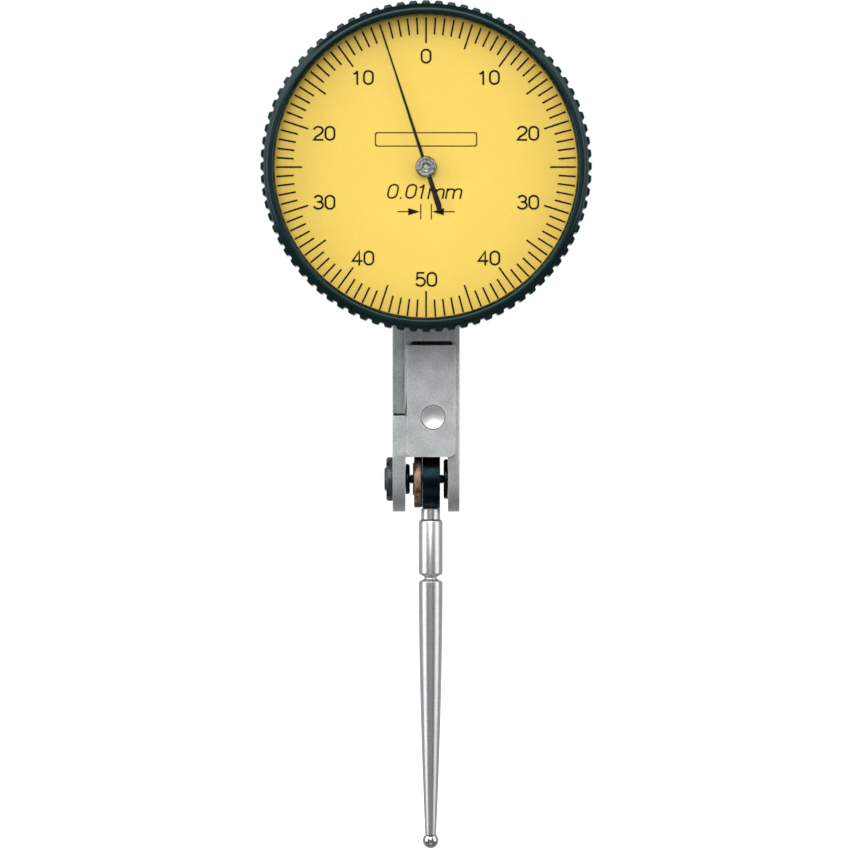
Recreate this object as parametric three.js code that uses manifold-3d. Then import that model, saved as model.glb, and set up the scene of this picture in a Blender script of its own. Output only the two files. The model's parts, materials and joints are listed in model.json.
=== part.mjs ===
// Lever-type dial test indicator with a 40 mm bezel, a long stylus and its whole movement.
//
// Frame, in millimetres: the origin is the centre of the end dovetail's flat face, +Z points out of
// that face, and the dial faces -Y. The stylus hangs along -Z, and its axle lies along X.
//
// How it works: the stylus is clutched to a toothed lever. The lever drives a pinion on the crown
// wheel's arbor, and the crown wheel drives the pinion on the pointer's arbor. One turn of the
// pointer is 1 mm at the contact ball.

import * as THREE from "three";
import { mergeVertices } from "three/addons/utils/BufferGeometryUtils.js";
import Module from "manifold-3d";

const wasm = await Module();
wasm.setup();

// ---------------------------------------------------------------- driving dimensions

const FIT = 0.03; // gap between pieces that touch
const RIM_SIDES = 40; // facets round the dial case and the pieces that nest in the bezel
const OVER = 0.5; // how far a cutter runs past the face it cuts

const DIAL_Z = -17; // the dial's axis, below the end face
const PIVOT_DROP = 37.9; // from the dial's axis down to the stylus axle
const STYLUS_LENGTH = 44.5; // from the stylus axle to the ball's centre
const BALL_RADIUS = 1;
const STYLUS_X = 0.57;

const BAR_HALF_WIDTH = 4.1; // the frame is one bar, milled out
const BAR_HALF_DEPTH = 4.6;
const EAR_RADIUS = 4; // round end of the two ears, about the stylus axle

const RAIL_WIDTH = 6.2; // dovetail rails: widest at their flat outer face
const RAIL_FLANK = Math.tan(THREE.MathUtils.degToRad(30)); // 60 degree dovetail
const END_RAIL_HEIGHT = 1.6;
const BACK_RAIL_HEIGHT = 1.6;
const BACK_RAIL_ENDS = [-44, -24];
const SIDE_RAIL_HEIGHT = 1.5;
const SIDE_RAIL_ENDS = [-46.8, -24];
const SIDE_MILLING_END = -47.1; // the milling runs on past the rail and leaves a notch above the ear
const NOTCH_BACK = -1; // the notch goes this deep from the front

const SLOT = { left: -2.55, right: 2.7, rise: 2.75 }; // gap between the ears, and its height over the axle
const CHANNEL = { left: -1.95, right: 3.25, front: -3.75, back: 3.5, top: -26 };
const CHAMBER = { half: 3.2, front: -3.75, back: 3.8, bottom: -26, top: -9.5 };
const PAD = { left: -2.6, right: 3.65, front: -5.9, bottom: -38.45, slope: 0.55, top: -2.5 };
// A slit through the pad's lower edge into the channel, with slanting ends: [x, z] corners.
const PAD_SLIT = [[-2.12, -38.47], [3.42, -38.47], [3.05, -37.99], [-1.6, -37.99]];

const CASE = { back: PAD.front - FIT, floor: 0.8, radius: 18.78, wall: 1.1, front: -11 };
const BEZEL = { front: -15.6, back: -8.6, radius: 19.63, bore: 18.9, opening: 18.25, lip: -14.7 };
const LUG = { count: 80, tip: 20, width: 0.82, height: 0.6, front: -15.1, back: -8.95 };
const GROOVE_RADIUS = 19.15; // the bezel's two inner grooves
const DIAL = { radius: 18.85, front: -11.95, back: -11.55, hole: 1 };

const PINION_TEETH = 12; // both pinions
const CROWN_TEETH = 98;
const SECTOR_TEETH = 411; // on a whole circle
const SECTOR_CUT = 8; // teeth that the lever carries, with a gap in the middle
const CROWN_Y = -2.1; // the crown wheel's axis, in front of the stylus axle
const CROWN_MODULE = 0.112;
const CROWN_RADIUS = (CROWN_TEETH * CROWN_MODULE) / 2;
const CENTRE_PINION_RADIUS = (PINION_TEETH * CROWN_MODULE) / 2;
const LEVER_REACH = Math.hypot(PIVOT_DROP, CROWN_Y); // stylus axle to crown wheel's axis
const LEVER_LEAN = Math.atan2(-CROWN_Y, PIVOT_DROP);
const SECTOR_MODULE = (2 * LEVER_REACH) / (SECTOR_TEETH + PINION_TEETH);
const SECTOR_RADIUS = (SECTOR_TEETH * SECTOR_MODULE) / 2;
const CROWN_PINION_RADIUS = (PINION_TEETH * SECTOR_MODULE) / 2;

const POINTER_REST = THREE.MathUtils.degToRad(18); // anticlockwise of zero: five divisions
const AXLE_RADIUS = 0.53;
const LEVER_TRAVEL = THREE.MathUtils.degToRad(1.65);

// ---------------------------------------------------------------- materials

function finish(color, roughness, metalness) {
  return new THREE.MeshStandardMaterial({ color, roughness, metalness });
}

const SATIN_CHROME = finish(0xa9acab, 0.42, 0.9);
const BLACK_ANODISED = finish(0x151b1b, 0.35, 0.6);
const BLACK_STEEL = finish(0x0d1114, 0.3, 0.8);
const STEEL = finish(0xb8b9ba, 0.22, 1);
const BRIGHT_STEEL = finish(0xd5d5da, 0.06, 1);
const COPPER = finish(0xa8745c, 0.3, 1);
const BRASS = finish(0xb79a52, 0.3, 1);
const RUBY = finish(0xa11238, 0.08, 0);
const RUBBER = finish(0x111111, 0.8, 0);
const DIAL_YELLOW = finish(0xfcdd69, 0.5, 0);
const POINTER_BLACK = finish(0x141416, 0.4, 0.2);
const GLASS = finish(0xf4fbff, 0.03, 0);

// ---------------------------------------------------------------- solids

// A closed three.js geometry as a solid, turned right side out.
function solid(geometry) {
  const bare = geometry.index ? geometry.toNonIndexed() : geometry.clone();
  bare.deleteAttribute("normal");
  bare.deleteAttribute("uv");
  const merged = mergeVertices(bare);
  const corners = Array.from(merged.index.array);
  const triangles = [];
  for (let i = 0; i < corners.length; i += 3) {
    const [a, b, c] = corners.slice(i, i + 3);
    if (a !== b && b !== c && c !== a) triangles.push([a, b, c]);
  }
  const build = (faces) =>
    new wasm.Manifold(
      new wasm.Mesh({
        numProp: 3,
        vertProperties: merged.attributes.position.array,
        triVerts: new Uint32Array(faces.flat()),
      }),
    );
  const made = build(triangles);
  return made.volume() > 0 ? made : build(triangles.map(([a, b, c]) => [a, c, b]));
}

const join = (...solids) => solids.reduce((sum, next) => sum.add(next));
const cut = (from, ...cutters) => cutters.reduce((rest, next) => rest.subtract(next), from);

function box(x, y, z) {
  const geometry = new THREE.BoxGeometry(x[1] - x[0], y[1] - y[0], z[1] - z[0]);
  return solid(geometry.translate((x[0] + x[1]) / 2, (y[0] + y[1]) / 2, (z[0] + z[1]) / 2));
}

// Turns a geometry made along the Y axis to lie along another axis.
const ALONG = {
  x: (geometry) => geometry.rotateZ(-Math.PI / 2),
  y: (geometry) => geometry,
  z: (geometry) => geometry.rotateX(Math.PI / 2),
};

// A round bar from one end to the other along an axis, centred on `at`.
function rod(axis, radius, ends, at = [0, 0, 0], sides = 32) {
  const geometry = new THREE.CylinderGeometry(radius, radius, ends[1] - ends[0], sides);
  geometry.translate(0, (ends[0] + ends[1]) / 2, 0);
  return solid(ALONG[axis](geometry).translate(...at));
}

// A turned piece: profile points are [radius, place along the axis].
// A profile that starts off the axis is closed on itself.
function turned(axis, profile, sides = 32) {
  const points = profile.map(([radius, along]) => new THREE.Vector2(radius, along));
  if (profile[0][0] > 0) points.push(points[0].clone());
  return solid(ALONG[axis](new THREE.LatheGeometry(points, sides)));
}

const ring = (axis, inner, outer, ends, sides) =>
  turned(axis, [[inner, ends[0]], [outer, ends[0]], [outer, ends[1]], [inner, ends[1]]], sides);

// An outline swept along an axis. Outline points are (y, z), (x, z) or (x, y) for x, y or z.
function swept(axis, outline, ends) {
  const isShape = outline instanceof THREE.Shape;
  const shape = isShape ? outline : new THREE.Shape(outline.map((p) => new THREE.Vector2(...p)));
  const options = { depth: ends[1] - ends[0], bevelEnabled: false, curveSegments: 8 };
  const geometry = new THREE.ExtrudeGeometry(shape, options);
  const [x, y, z] = [new THREE.Vector3(1, 0, 0), new THREE.Vector3(0, 1, 0), new THREE.Vector3(0, 0, 1)];
  const bases = { x: [y, z, x], y: [x, z, y.clone().negate()], z: [x, y, z] };
  geometry.applyMatrix4(new THREE.Matrix4().makeBasis(...bases[axis]));
  const start = { x: [ends[0], 0, 0], y: [0, ends[1], 0], z: [0, 0, ends[0]] }[axis];
  return solid(geometry.translate(...start));
}

// A four-sided section, given by two opposite corners, with its own radius at each corner.
function roundedOutline([left, bottom], [right, top], [lowerRadius, upperRadius]) {
  const shape = new THREE.Shape();
  shape.absarc(right - lowerRadius, bottom + lowerRadius, lowerRadius, -Math.PI / 2, 0);
  shape.absarc(right - upperRadius, top - upperRadius, upperRadius, 0, Math.PI / 2);
  shape.absarc(left + upperRadius, top - upperRadius, upperRadius, Math.PI / 2, Math.PI);
  shape.absarc(left + lowerRadius, bottom + lowerRadius, lowerRadius, Math.PI, 1.5 * Math.PI);
  return shape;
}

// Section of a dovetail rail: `out` is the height over its base, and across is symmetric about 0.
function railSection(height) {
  const half = RAIL_WIDTH / 2;
  const foot = half - height * RAIL_FLANK;
  return [[-foot, -OVER], [-foot, 0], [-half, height], [half, height], [foot, 0], [foot, -OVER]];
}

// Points of a gear's outline, tooth by tooth, from one angle to the next by pitch.
function toothPoints(radius, module, teeth, first, count) {
  const pitch = (2 * Math.PI) / teeth;
  const [root, tip] = [radius - 1.2 * module, radius + 0.85 * module];
  const points = [];
  for (let i = 0; i < count; i++) {
    const middle = first + i * pitch;
    for (const [r, share] of [[root, -0.3], [tip, -0.12], [tip, 0.12], [root, 0.3]]) {
      const angle = middle + share * pitch;
      points.push([r * Math.sin(angle), r * Math.cos(angle)]);
    }
  }
  return points;
}

// ---------------------------------------------------------------- scene graph

const indicator = new THREE.Group();

function place(parent, x, y, z) {
  const group = new THREE.Group();
  group.position.set(x, y, z);
  parent.add(group);
  return group;
}

function piece(group, name, made, material) {
  const mesh = made.getMesh();
  const geometry = new THREE.BufferGeometry();
  geometry.setAttribute("position", new THREE.BufferAttribute(new Float32Array(mesh.vertProperties), 3));
  geometry.setIndex(new THREE.BufferAttribute(mesh.triVerts, 1));
  geometry.computeVertexNormals();
  const node = new THREE.Mesh(geometry, material);
  node.name = name;
  group.add(node);
  return node;
}

const PIVOT_Z = DIAL_Z - PIVOT_DROP;
const dialAxis = place(indicator, 0, 0, DIAL_Z);
const crownAxis = place(indicator, 0, CROWN_Y, DIAL_Z);
const pivotAxis = place(indicator, 0, 0, PIVOT_Z);

// ---------------------------------------------------------------- frame

const COVER = { left: -2.35, right: 3.6, bottom: PIVOT_Z + SLOT.rise, top: PAD.bottom - 0.08 };
const COVER_CORNERS = [0.8, 0.35]; // radii of its lower and its upper corners
const COVER_FACES = [-BAR_HALF_DEPTH - 0.37, -BAR_HALF_DEPTH - FIT];
const COVER_SCREW = { x: 0.86, z: PIVOT_Z + 7.6, head: 1.47, thread: 0.75, post: 1.65 };
const POST_FRONT = -3.95;
const CASE_SCREW_DROPS = [12, -12.5]; // above and below the dial's axis
const CASE_THREAD = 0.8;
const CASE_SCREW_X = 0.45;
const STOP_RISE = 20; // the stop pins, above the stylus axle
const STOP_RADIUS = 0.5;
const STOP_ENDS = [-2.6, -0.35];
const ARM_HALF_WIDTH = 0.7;
const STOP_MIDDLE = -STOP_RISE * Math.tan(LEVER_LEAN);
const STOP_OFFSET = ARM_HALF_WIDTH + STOP_RADIUS + STOP_RISE * LEVER_TRAVEL + 0.05;
const STOP_YS = { front: STOP_MIDDLE - STOP_OFFSET, back: STOP_MIDDLE + STOP_OFFSET };
const SCREW_HOLE = 1.55; // left ear, for the pivot screw
const BUSH_HOLE = 1.25; // right ear, for the fixed bearing
const JEWEL_SEAT = 0.8; // both side walls, for the crown wheel's bearings

// Side view of the bar: square at the dovetail end, round about the axle at the other.
function barOutline() {
  const shape = new THREE.Shape();
  const shoulder = PIVOT_Z + 3;
  shape.moveTo(-BAR_HALF_DEPTH, -END_RAIL_HEIGHT);
  shape.lineTo(-BAR_HALF_DEPTH, shoulder);
  shape.lineTo(-EAR_RADIUS, PIVOT_Z);
  shape.absarc(0, PIVOT_Z, EAR_RADIUS, -Math.PI, 0);
  shape.lineTo(BAR_HALF_DEPTH, shoulder);
  shape.lineTo(BAR_HALF_DEPTH, -END_RAIL_HEIGHT);
  return shape;
}

// The raised pad that carries the dial case, with its lower edge cut to a slope.
function pad() {
  const { left, right, front, bottom, slope, top } = PAD;
  const block = box([left, right], [front, -CHAMBER.half], [bottom, top]);
  const depth = -BAR_HALF_DEPTH - front;
  const edge = [[front - OVER, bottom + slope + (OVER * slope) / depth], [-BAR_HALF_DEPTH, bottom]];
  const wedge = swept("x", [...edge, [front - OVER, bottom]], [left - OVER, right + OVER]);
  return cut(block, wedge);
}

function rails() {
  const end = swept("y", railSection(END_RAIL_HEIGHT), [-BAR_HALF_DEPTH, BAR_HALF_DEPTH]);
  const back = swept("z", railSection(BACK_RAIL_HEIGHT), BACK_RAIL_ENDS);
  const side = swept("z", railSection(SIDE_RAIL_HEIGHT), SIDE_RAIL_ENDS);
  return [
    end.translate([0, 0, -END_RAIL_HEIGHT]),
    back.translate([0, BAR_HALF_DEPTH, 0]),
    side.rotate([0, 0, 90]).translate([SIDE_RAIL_HEIGHT - BAR_HALF_WIDTH, 0, 0]),
  ];
}

function bodyFrame() {
  const width = [-BAR_HALF_WIDTH, BAR_HALF_WIDTH];
  const sideFloor = SIDE_RAIL_HEIGHT - BAR_HALF_WIDTH;
  const through = [-10, 10];
  let body = swept("x", barOutline(), width);
  body = cut(body, box([-10, sideFloor], through, SIDE_RAIL_ENDS));
  body = cut(body, box([-10, sideFloor], [-10, NOTCH_BACK], [SIDE_MILLING_END, SIDE_RAIL_ENDS[1]]));
  body = join(body, pad(), ...rails());

  const slot = box([SLOT.left, SLOT.right], through, [PIVOT_Z - 10, PIVOT_Z + SLOT.rise]);
  const channelSides = [CHANNEL.left, CHANNEL.right];
  const channel = box(channelSides, [CHANNEL.front, CHANNEL.back], [PIVOT_Z + 2, CHANNEL.top + FIT]);
  // the opening that the front cover closes
  const windowSides = [CHANNEL.left, CHANNEL.right - 0.4];
  const window = box(windowSides, [-10, CHANNEL.front + FIT], [PIVOT_Z + 4.2, PAD.bottom - 0.8]);
  const { half, front, back, bottom, top } = CHAMBER;
  const chamber = box([-half, half], [front, back], [bottom, top]);
  const crownGap = box([-1.9, 2.9], [-10, front + FIT], [DIAL_Z - 6.3, DIAL_Z + 6.3]);
  const padSlit = swept("y", PAD_SLIT, [-10, CHANNEL.front + FIT]);
  body = cut(body, slot, channel, window, chamber, crownGap, padSlit);

  const { x, z, post, thread } = COVER_SCREW;
  body = join(body, rod("y", post, [POST_FRONT, CHANNEL.back + 0.3], [x, 0, z], 24));
  body = cut(body, rod("y", thread + FIT, [POST_FRONT - OVER, -0.9], [x, 0, z], 16));

  const holes = [
    rod("x", SCREW_HOLE, [-10, 0], [0, 0, PIVOT_Z]),
    rod("x", BUSH_HOLE, [0, 10], [0, 0, PIVOT_Z]),
    rod("x", JEWEL_SEAT, through, [0, CROWN_Y, DIAL_Z], 24),
    ...CASE_SCREW_DROPS.map((drop) =>
      rod("y", CASE_THREAD + FIT, [-10, -2.6], [CASE_SCREW_X, 0, DIAL_Z + drop], 16),
    ),
    ...Object.values(STOP_YS).map((y) =>
      rod("x", STOP_RADIUS + FIT, [STOP_ENDS[0] - FIT, 0], [0, y, PIVOT_Z + STOP_RISE], 16),
    ),
  ];
  return cut(body, ...holes);
}

function frontCover() {
  const corners = [[COVER.left, COVER.bottom], [COVER.right, COVER.top], COVER_CORNERS];
  const plate = swept("y", roundedOutline(...corners), COVER_FACES);
  return cut(plate, rod("y", COVER_SCREW.head + 0.06, [-10, 0], [COVER_SCREW.x, 0, COVER_SCREW.z]));
}

// A screw with a flat cheese head and a driving slot: `top` is the head's outer face, along -Y.
function slottedScrew({ head, headHeight, thread, length, slot }) {
  const top = [[0, 0], [head - 0.1, 0], [head, 0.1], [head, headHeight]];
  const profile = [...top, [thread, headHeight], [thread, length], [0, length]];
  const blank = turned("y", profile, 12);
  return cut(blank, box([-head - OVER, head + OVER], [-OVER, headHeight * 0.5], [-slot / 2, slot / 2]));
}

// The cover's screw: a polished head with a shallow round hollow in place of a slot.
function dimpledScrew() {
  const { head, thread } = COVER_SCREW;
  const face = COVER_FACES[0] + 0.05;
  const seat = POST_FRONT - FIT;
  const top = [[0, face], [head - 0.08, face], [head, face + 0.08], [head, seat]];
  const blank = turned("y", [...top, [thread, seat], [thread, -1], [0, -1]], 24);
  const hollowRadius = 2.4;
  const hollow = new THREE.SphereGeometry(hollowRadius, 24, 12);
  hollow.translate(0, face - hollowRadius + 0.5, 0);
  return cut(blank, solid(hollow));
}

piece(indicator, "body_frame", bodyFrame(), SATIN_CHROME);
piece(indicator, "front_cover", frontCover(), SATIN_CHROME);
const coverScrewPlace = place(indicator, COVER_SCREW.x, 0, COVER_SCREW.z);
piece(coverScrewPlace, "cover_screw", dimpledScrew(), BRIGHT_STEEL);
for (const [side, y] of Object.entries(STOP_YS)) {
  const pin = rod("x", STOP_RADIUS, STOP_ENDS, [0, y, STOP_RISE], 12);
  piece(pivotAxis, "lever_stop_pin_" + side, pin, STEEL);
}

// ---------------------------------------------------------------- dial case and what is fixed in it

const FLOOR_FRONT = CASE.back - CASE.floor;
const O_RING = { groove: 18.2, middle: -9.25, thickness: 0.3 };
const WIRE = { inner: 18.5, outer: 19.08, ends: [-10.55, -10.15], groove: 18.45 };
const BRIDGE = { radius: 8, ends: [-10.85, -10.2], screwCircle: 6.5 };
const PILLAR_RADIUS = 0.9;
const LOWER_JEWEL_RADIUS = 0.38;
const UPPER_JEWEL_RADIUS = 0.9;
const CROWN_SLOT = [0.46, 1.75];
const BRIDGE_ANGLES = [0, 120, 240].map(THREE.MathUtils.degToRad);

// (x, z) of a point on a circle about the dial's axis, clockwise from the top.
const onCircle = (radius, angle) => [radius * Math.sin(angle), radius * Math.cos(angle)];
const bridgePoints = BRIDGE_ANGLES.map((angle) => onCircle(BRIDGE.screwCircle, angle));

function dialCase() {
  const { back, radius, wall, front } = CASE;
  const profile = [
    [0, back], [16.2, back], [radius, back - 1.9],
    [radius, O_RING.middle + 0.4], [O_RING.groove, O_RING.middle + 0.4],
    [O_RING.groove, O_RING.middle - 0.4], [radius, O_RING.middle - 0.4],
    [radius, WIRE.ends[1] + 0.05], [WIRE.groove, WIRE.ends[1] + 0.05],
    [WIRE.groove, WIRE.ends[0] - 0.05], [radius, WIRE.ends[0] - 0.05],
    [radius, front], [radius - wall, front],
    [radius - wall, FLOOR_FRONT - 1.2], [16, FLOOR_FRONT], [0, FLOOR_FRONT],
  ];
  const cup = turned("y", profile, RIM_SIDES);
  const slot = box(CROWN_SLOT, [-8, -5], [-4.6, 4.6]);
  const jewelSeat = rod("y", LOWER_JEWEL_RADIUS + FIT, [-8, -5], [0, 0, 0], 16);
  const screwHole = rod("y", CASE_THREAD + 0.08, [-8, -5], [CASE_SCREW_X, 0, 0], 16);
  const screwHoles = CASE_SCREW_DROPS.map((drop) => screwHole.translate([0, 0, drop]));
  return cut(cup, slot, jewelSeat, ...screwHoles);
}

function movementBridge() {
  const plate = rod("y", BRIDGE.radius, BRIDGE.ends, [0, 0, 0], 32);
  const jewelSeat = rod("y", UPPER_JEWEL_RADIUS + FIT, [-12, -9], [0, 0, 0], 16);
  const screwHoles = bridgePoints.map(([x, z]) => rod("y", 0.5, [-12, -9], [x, 0, z], 10));
  // three windows between the screws leave a rim, a centre and three arms
  const windows = BRIDGE_ANGLES.map((a) => {
    const middle = a + Math.PI / 3;
    const [x, z] = onCircle(5, middle);
    return rod("y", 1.9, [-12, -9], [x, 0, z], 16);
  });
  return cut(plate, jewelSeat, ...screwHoles, ...windows);
}

function pillar() {
  const body = rod("y", PILLAR_RADIUS, [BRIDGE.ends[1] + FIT, FLOOR_FRONT - FIT], [0, 0, 0], 12);
  return cut(body, rod("y", 0.47, [BRIDGE.ends[1] - OVER, -7.8], [0, 0, 0], 10));
}

// A ring of round section, for the friction ring that drags on the bezel.
function frictionRing() {
  const { groove, thickness } = O_RING;
  const geometry = new THREE.TorusGeometry(groove + thickness + FIT, thickness, 6, RIM_SIDES);
  return solid(geometry.rotateX(Math.PI / 2).translate(0, O_RING.middle, 0));
}

// A flat spiral strip in the plane of the dial, from the collet out to the stud.
const SPRING = { inner: 1.02, outer: 4.4, turns: 3.5, strip: 0.09, ends: [-9.75, -9.35], steps: 44 };
const springAngle = (share) => 2 * Math.PI * SPRING.turns * share;
const springRadius = (share) => SPRING.inner + (SPRING.outer - SPRING.inner) * share;

function hairspring() {
  const side = (offset) =>
    Array.from({ length: SPRING.steps + 1 }, (_, i) => {
      const share = i / SPRING.steps;
      return onCircle(springRadius(share) + offset, springAngle(share));
    });
  const outline = [...side(SPRING.strip / 2), ...side(-SPRING.strip / 2).reverse()];
  return swept("y", outline, SPRING.ends);
}

piece(dialAxis, "dial_case", dialCase(), SATIN_CHROME);
piece(dialAxis, "movement_bridge", movementBridge(), BRASS);
piece(dialAxis, "bezel_friction_ring", frictionRing(), RUBBER);
piece(dialAxis, "bezel_retaining_wire", ring("y", WIRE.inner, WIRE.outer, WIRE.ends, RIM_SIDES), STEEL);
piece(dialAxis, "arbor_jewel_upper", ring("y", 0.33, UPPER_JEWEL_RADIUS, BRIDGE.ends, 16), RUBY);
piece(dialAxis, "arbor_jewel_lower", ring("y", 0.17, LOWER_JEWEL_RADIUS, [CASE.back, FLOOR_FRONT], 12), RUBY);
piece(dialAxis, "hairspring", hairspring(), STEEL);
const [studX, studZ] = onCircle(SPRING.outer + SPRING.strip / 2 + 0.4, springAngle(1));
const stud = rod("y", 0.33, [BRIDGE.ends[1] + FIT, SPRING.ends[1]], [studX, 0, studZ], 10);
piece(dialAxis, "hairspring_stud", stud, BRASS);

bridgePoints.forEach(([x, z], i) => {
  const post = place(dialAxis, x, 0, z);
  piece(post, "bridge_pillar_" + (i + 1), pillar(), BRASS);
  const screw = slottedScrew({ head: 0.85, headHeight: 0.35, thread: 0.42, length: 2.6, slot: 0.22 });
  const screwPlace = place(post, 0, BRIDGE.ends[0] - 0.35 - FIT, 0);
  piece(screwPlace, "bridge_screw_" + (i + 1), screw, BRIGHT_STEEL);
});

["upper", "lower"].forEach((which, i) => {
  const screw = slottedScrew({ head: 1.5, headHeight: 0.8, thread: CASE_THREAD, length: 3.6, slot: 0.35 });
  const screwPlace = place(dialAxis, CASE_SCREW_X, FLOOR_FRONT - 0.8 - FIT, CASE_SCREW_DROPS[i]);
  piece(screwPlace, "case_screw_" + which, screw, BRIGHT_STEEL);
});

for (const [side, ends] of Object.entries({ left: [-4, -3.22], right: [3.22, 4] })) {
  piece(crownAxis, "crown_jewel_" + side, ring("x", 0.17, JEWEL_SEAT - FIT, ends, 16), RUBY);
}

// ---------------------------------------------------------------- bezel group: turns to set the dial's zero

const SNAP_RING = { inner: 18.35, outer: 19.08, ends: [-11.5, -11.15] };
const GASKET = { front: -13.82, back: -13.58 };

// Inner radii stay true circles while the rim carries the grip lugs.
function bezelRing() {
  const { front, back, radius, bore, opening, lip } = BEZEL;
  const groove = ([low, high]) => {
    const [start, end] = [high + 0.05, low - 0.05];
    return [[bore, start], [GROOVE_RADIUS, start], [GROOVE_RADIUS, end], [bore, end]];
  };
  const profile = [
    [bore, back], ...groove(WIRE.ends), ...groove(SNAP_RING.ends), [bore, lip],
    [opening, lip], [opening, front + 0.45], [opening + 0.35, front],
    [radius - 0.5, front], [radius, front + 0.45], [radius, back - 0.3], [radius - 0.3, back],
  ];
  const lugs = Array.from({ length: LUG.count }, (_, i) => {
    const lug = new THREE.BoxGeometry(LUG.width, LUG.back - LUG.front, LUG.height);
    lug.translate(0, (LUG.front + LUG.back) / 2, LUG.tip - LUG.height / 2);
    return solid(lug.rotateY((i * 2 * Math.PI) / LUG.count));
  });
  return join(turned("y", profile, LUG.count), ...lugs);
}

piece(dialAxis, "bezel_ring", bezelRing(), BLACK_ANODISED);
// A ring that nests in the bezel, against its bore or in its groove.
const nested = (inner, outer, ends) => ring("y", inner, outer, ends, RIM_SIDES);

piece(dialAxis, "dial_plate", nested(DIAL.hole, DIAL.radius, [DIAL.front, DIAL.back]), DIAL_YELLOW);
piece(dialAxis, "dial_snap_ring", nested(SNAP_RING.inner, SNAP_RING.outer, SNAP_RING.ends), STEEL);
const spacer = nested(SNAP_RING.inner, DIAL.radius, [GASKET.back + FIT, DIAL.front - FIT]);
piece(dialAxis, "dial_spacer_ring", spacer, BLACK_ANODISED);
piece(dialAxis, "crystal_gasket", nested(SNAP_RING.inner, DIAL.radius, [GASKET.front, GASKET.back]), RUBBER);
const crystal = rod("y", DIAL.radius, [BEZEL.lip + FIT, GASKET.front - FIT], [0, 0, 0], RIM_SIDES);
piece(dialAxis, "crystal", crystal, GLASS);

// ---------------------------------------------------------------- pointer group

const HAND = { reach: 17.85, tail: 5.6, ends: [-12.78, -12.62] };
const HAND_HALF_WIDTHS = { tip: 0.06, neck: 0.2, tailNeck: 0.22, tailEnd: 0.34 };
const HAND_ROOT = 0.9; // where the blade and the tail leave the disc under the boss
const BOSS_RADIUS = 1.3;
const PINION_FACE = [-8.6, -7.2]; // centre pinion, along the arbor

function pointerHand() {
  const { reach, tail, ends } = HAND;
  const { tip, neck, tailNeck, tailEnd } = HAND_HALF_WIDTHS;
  const blade = [
    [-tip, reach], [tip, reach], [neck, HAND_ROOT], [tailNeck, -HAND_ROOT], [tailEnd, -tail + 0.55],
    [0.1, -tail], [-tailEnd, -tail + 0.2], [-tailNeck, -HAND_ROOT], [-neck, HAND_ROOT],
  ];
  const disc = rod("y", 1.05, ends, [0, 0, 0], 16);
  return cut(join(swept("y", blade, ends), disc), rod("y", 0.47, [-20, 0], [0, 0, 0], 12));
}

function pointerBoss() {
  const [front, back] = [HAND.ends[0] - FIT, HAND.ends[1] + FIT];
  const cap = [[0.32, front - 0.5], [BOSS_RADIUS - 0.15, front - 0.5], [BOSS_RADIUS, front - 0.35]];
  const neck = [[BOSS_RADIUS, front], [0.44, front], [0.44, back]];
  const sleeve = [[0.8, back], [0.8, back + 0.4], [0.32, back + 0.4]];
  return turned("y", [...cap, ...neck, ...sleeve], 20);
}

function pointerArbor() {
  const [head, shoulder, foot] = [PINION_FACE[0], FLOOR_FRONT - FIT, CASE.back - 0.05];
  const upper = [[0, -13.2], [0.29, -13.2], [0.29, head], [0.45, head], [0.45, -6.95]];
  const lower = [[0.3, -6.95], [0.3, shoulder], [0.14, shoulder], [0.14, foot], [0, foot]];
  const shaft = turned("y", [...upper, ...lower], 12);
  // one leaf points along +X, into a gap of the crown wheel
  const leaves = toothPoints(CENTRE_PINION_RADIUS, CROWN_MODULE, PINION_TEETH, Math.PI / 2, PINION_TEETH);
  return join(shaft, swept("y", leaves, PINION_FACE));
}

const hand = pointerHand().rotate([0, THREE.MathUtils.radToDeg(-POINTER_REST), 0]);
piece(dialAxis, "pointer_hand", hand, POINTER_BLACK);
piece(dialAxis, "pointer_boss", pointerBoss(), STEEL);
piece(dialAxis, "pointer_arbor", pointerArbor(), BRIGHT_STEEL);
const collet = ring("y", 0.32, SPRING.inner - SPRING.strip / 2 - FIT, [-9.9, -9.2], 16);
piece(dialAxis, "hairspring_collet", collet, BRASS);

// ---------------------------------------------------------------- crown wheel group

const CROWN_TOOTH = { inner: CROWN_RADIUS - 0.3, outer: CROWN_RADIUS + 0.16, root: 0.82, tip: 0.585 };
const CROWN_RIM = 0.08; // how far the wheel's disc stands out past its teeth
const CROWN_BACK = 1.18;
const CROWN_PINION_FACE = [-1.5, -0.6];

// Face teeth on a thin wheel, with five round windows in its web. A gap lies towards the dial at rest.
function crownWheel() {
  const { inner, outer, root, tip } = CROWN_TOOTH;
  const pitch = (2 * Math.PI) / CROWN_TEETH;
  const blank = rod("x", outer + CROWN_RIM, [root, CROWN_BACK], [0, 0, 0], 40);
  const half = (pitch * CROWN_RADIUS) / 2;
  const teeth = Array.from({ length: CROWN_TEETH }, (_, i) => {
    const [foot, base, top] = [root + 0.05, 0.52 * half, 0.26 * half];
    const tooth = swept("z", [[foot, -base], [tip, -top], [tip, top], [foot, base]], [inner, outer]);
    return tooth.rotate([THREE.MathUtils.radToDeg((i + 0.5) * pitch) + 90, 0, 0]);
  });
  const windows = Array.from({ length: 5 }, (_, i) => {
    const angle = (i * 2 * Math.PI) / 5;
    const [y, z] = onCircle(3.1, angle);
    return rod("x", 1.25, [0, 2], [0, y, z], 12);
  });
  return cut(join(blank, ...teeth), rod("x", 0.31, [0, 2], [0, 0, 0], 12), ...windows);
}

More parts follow.
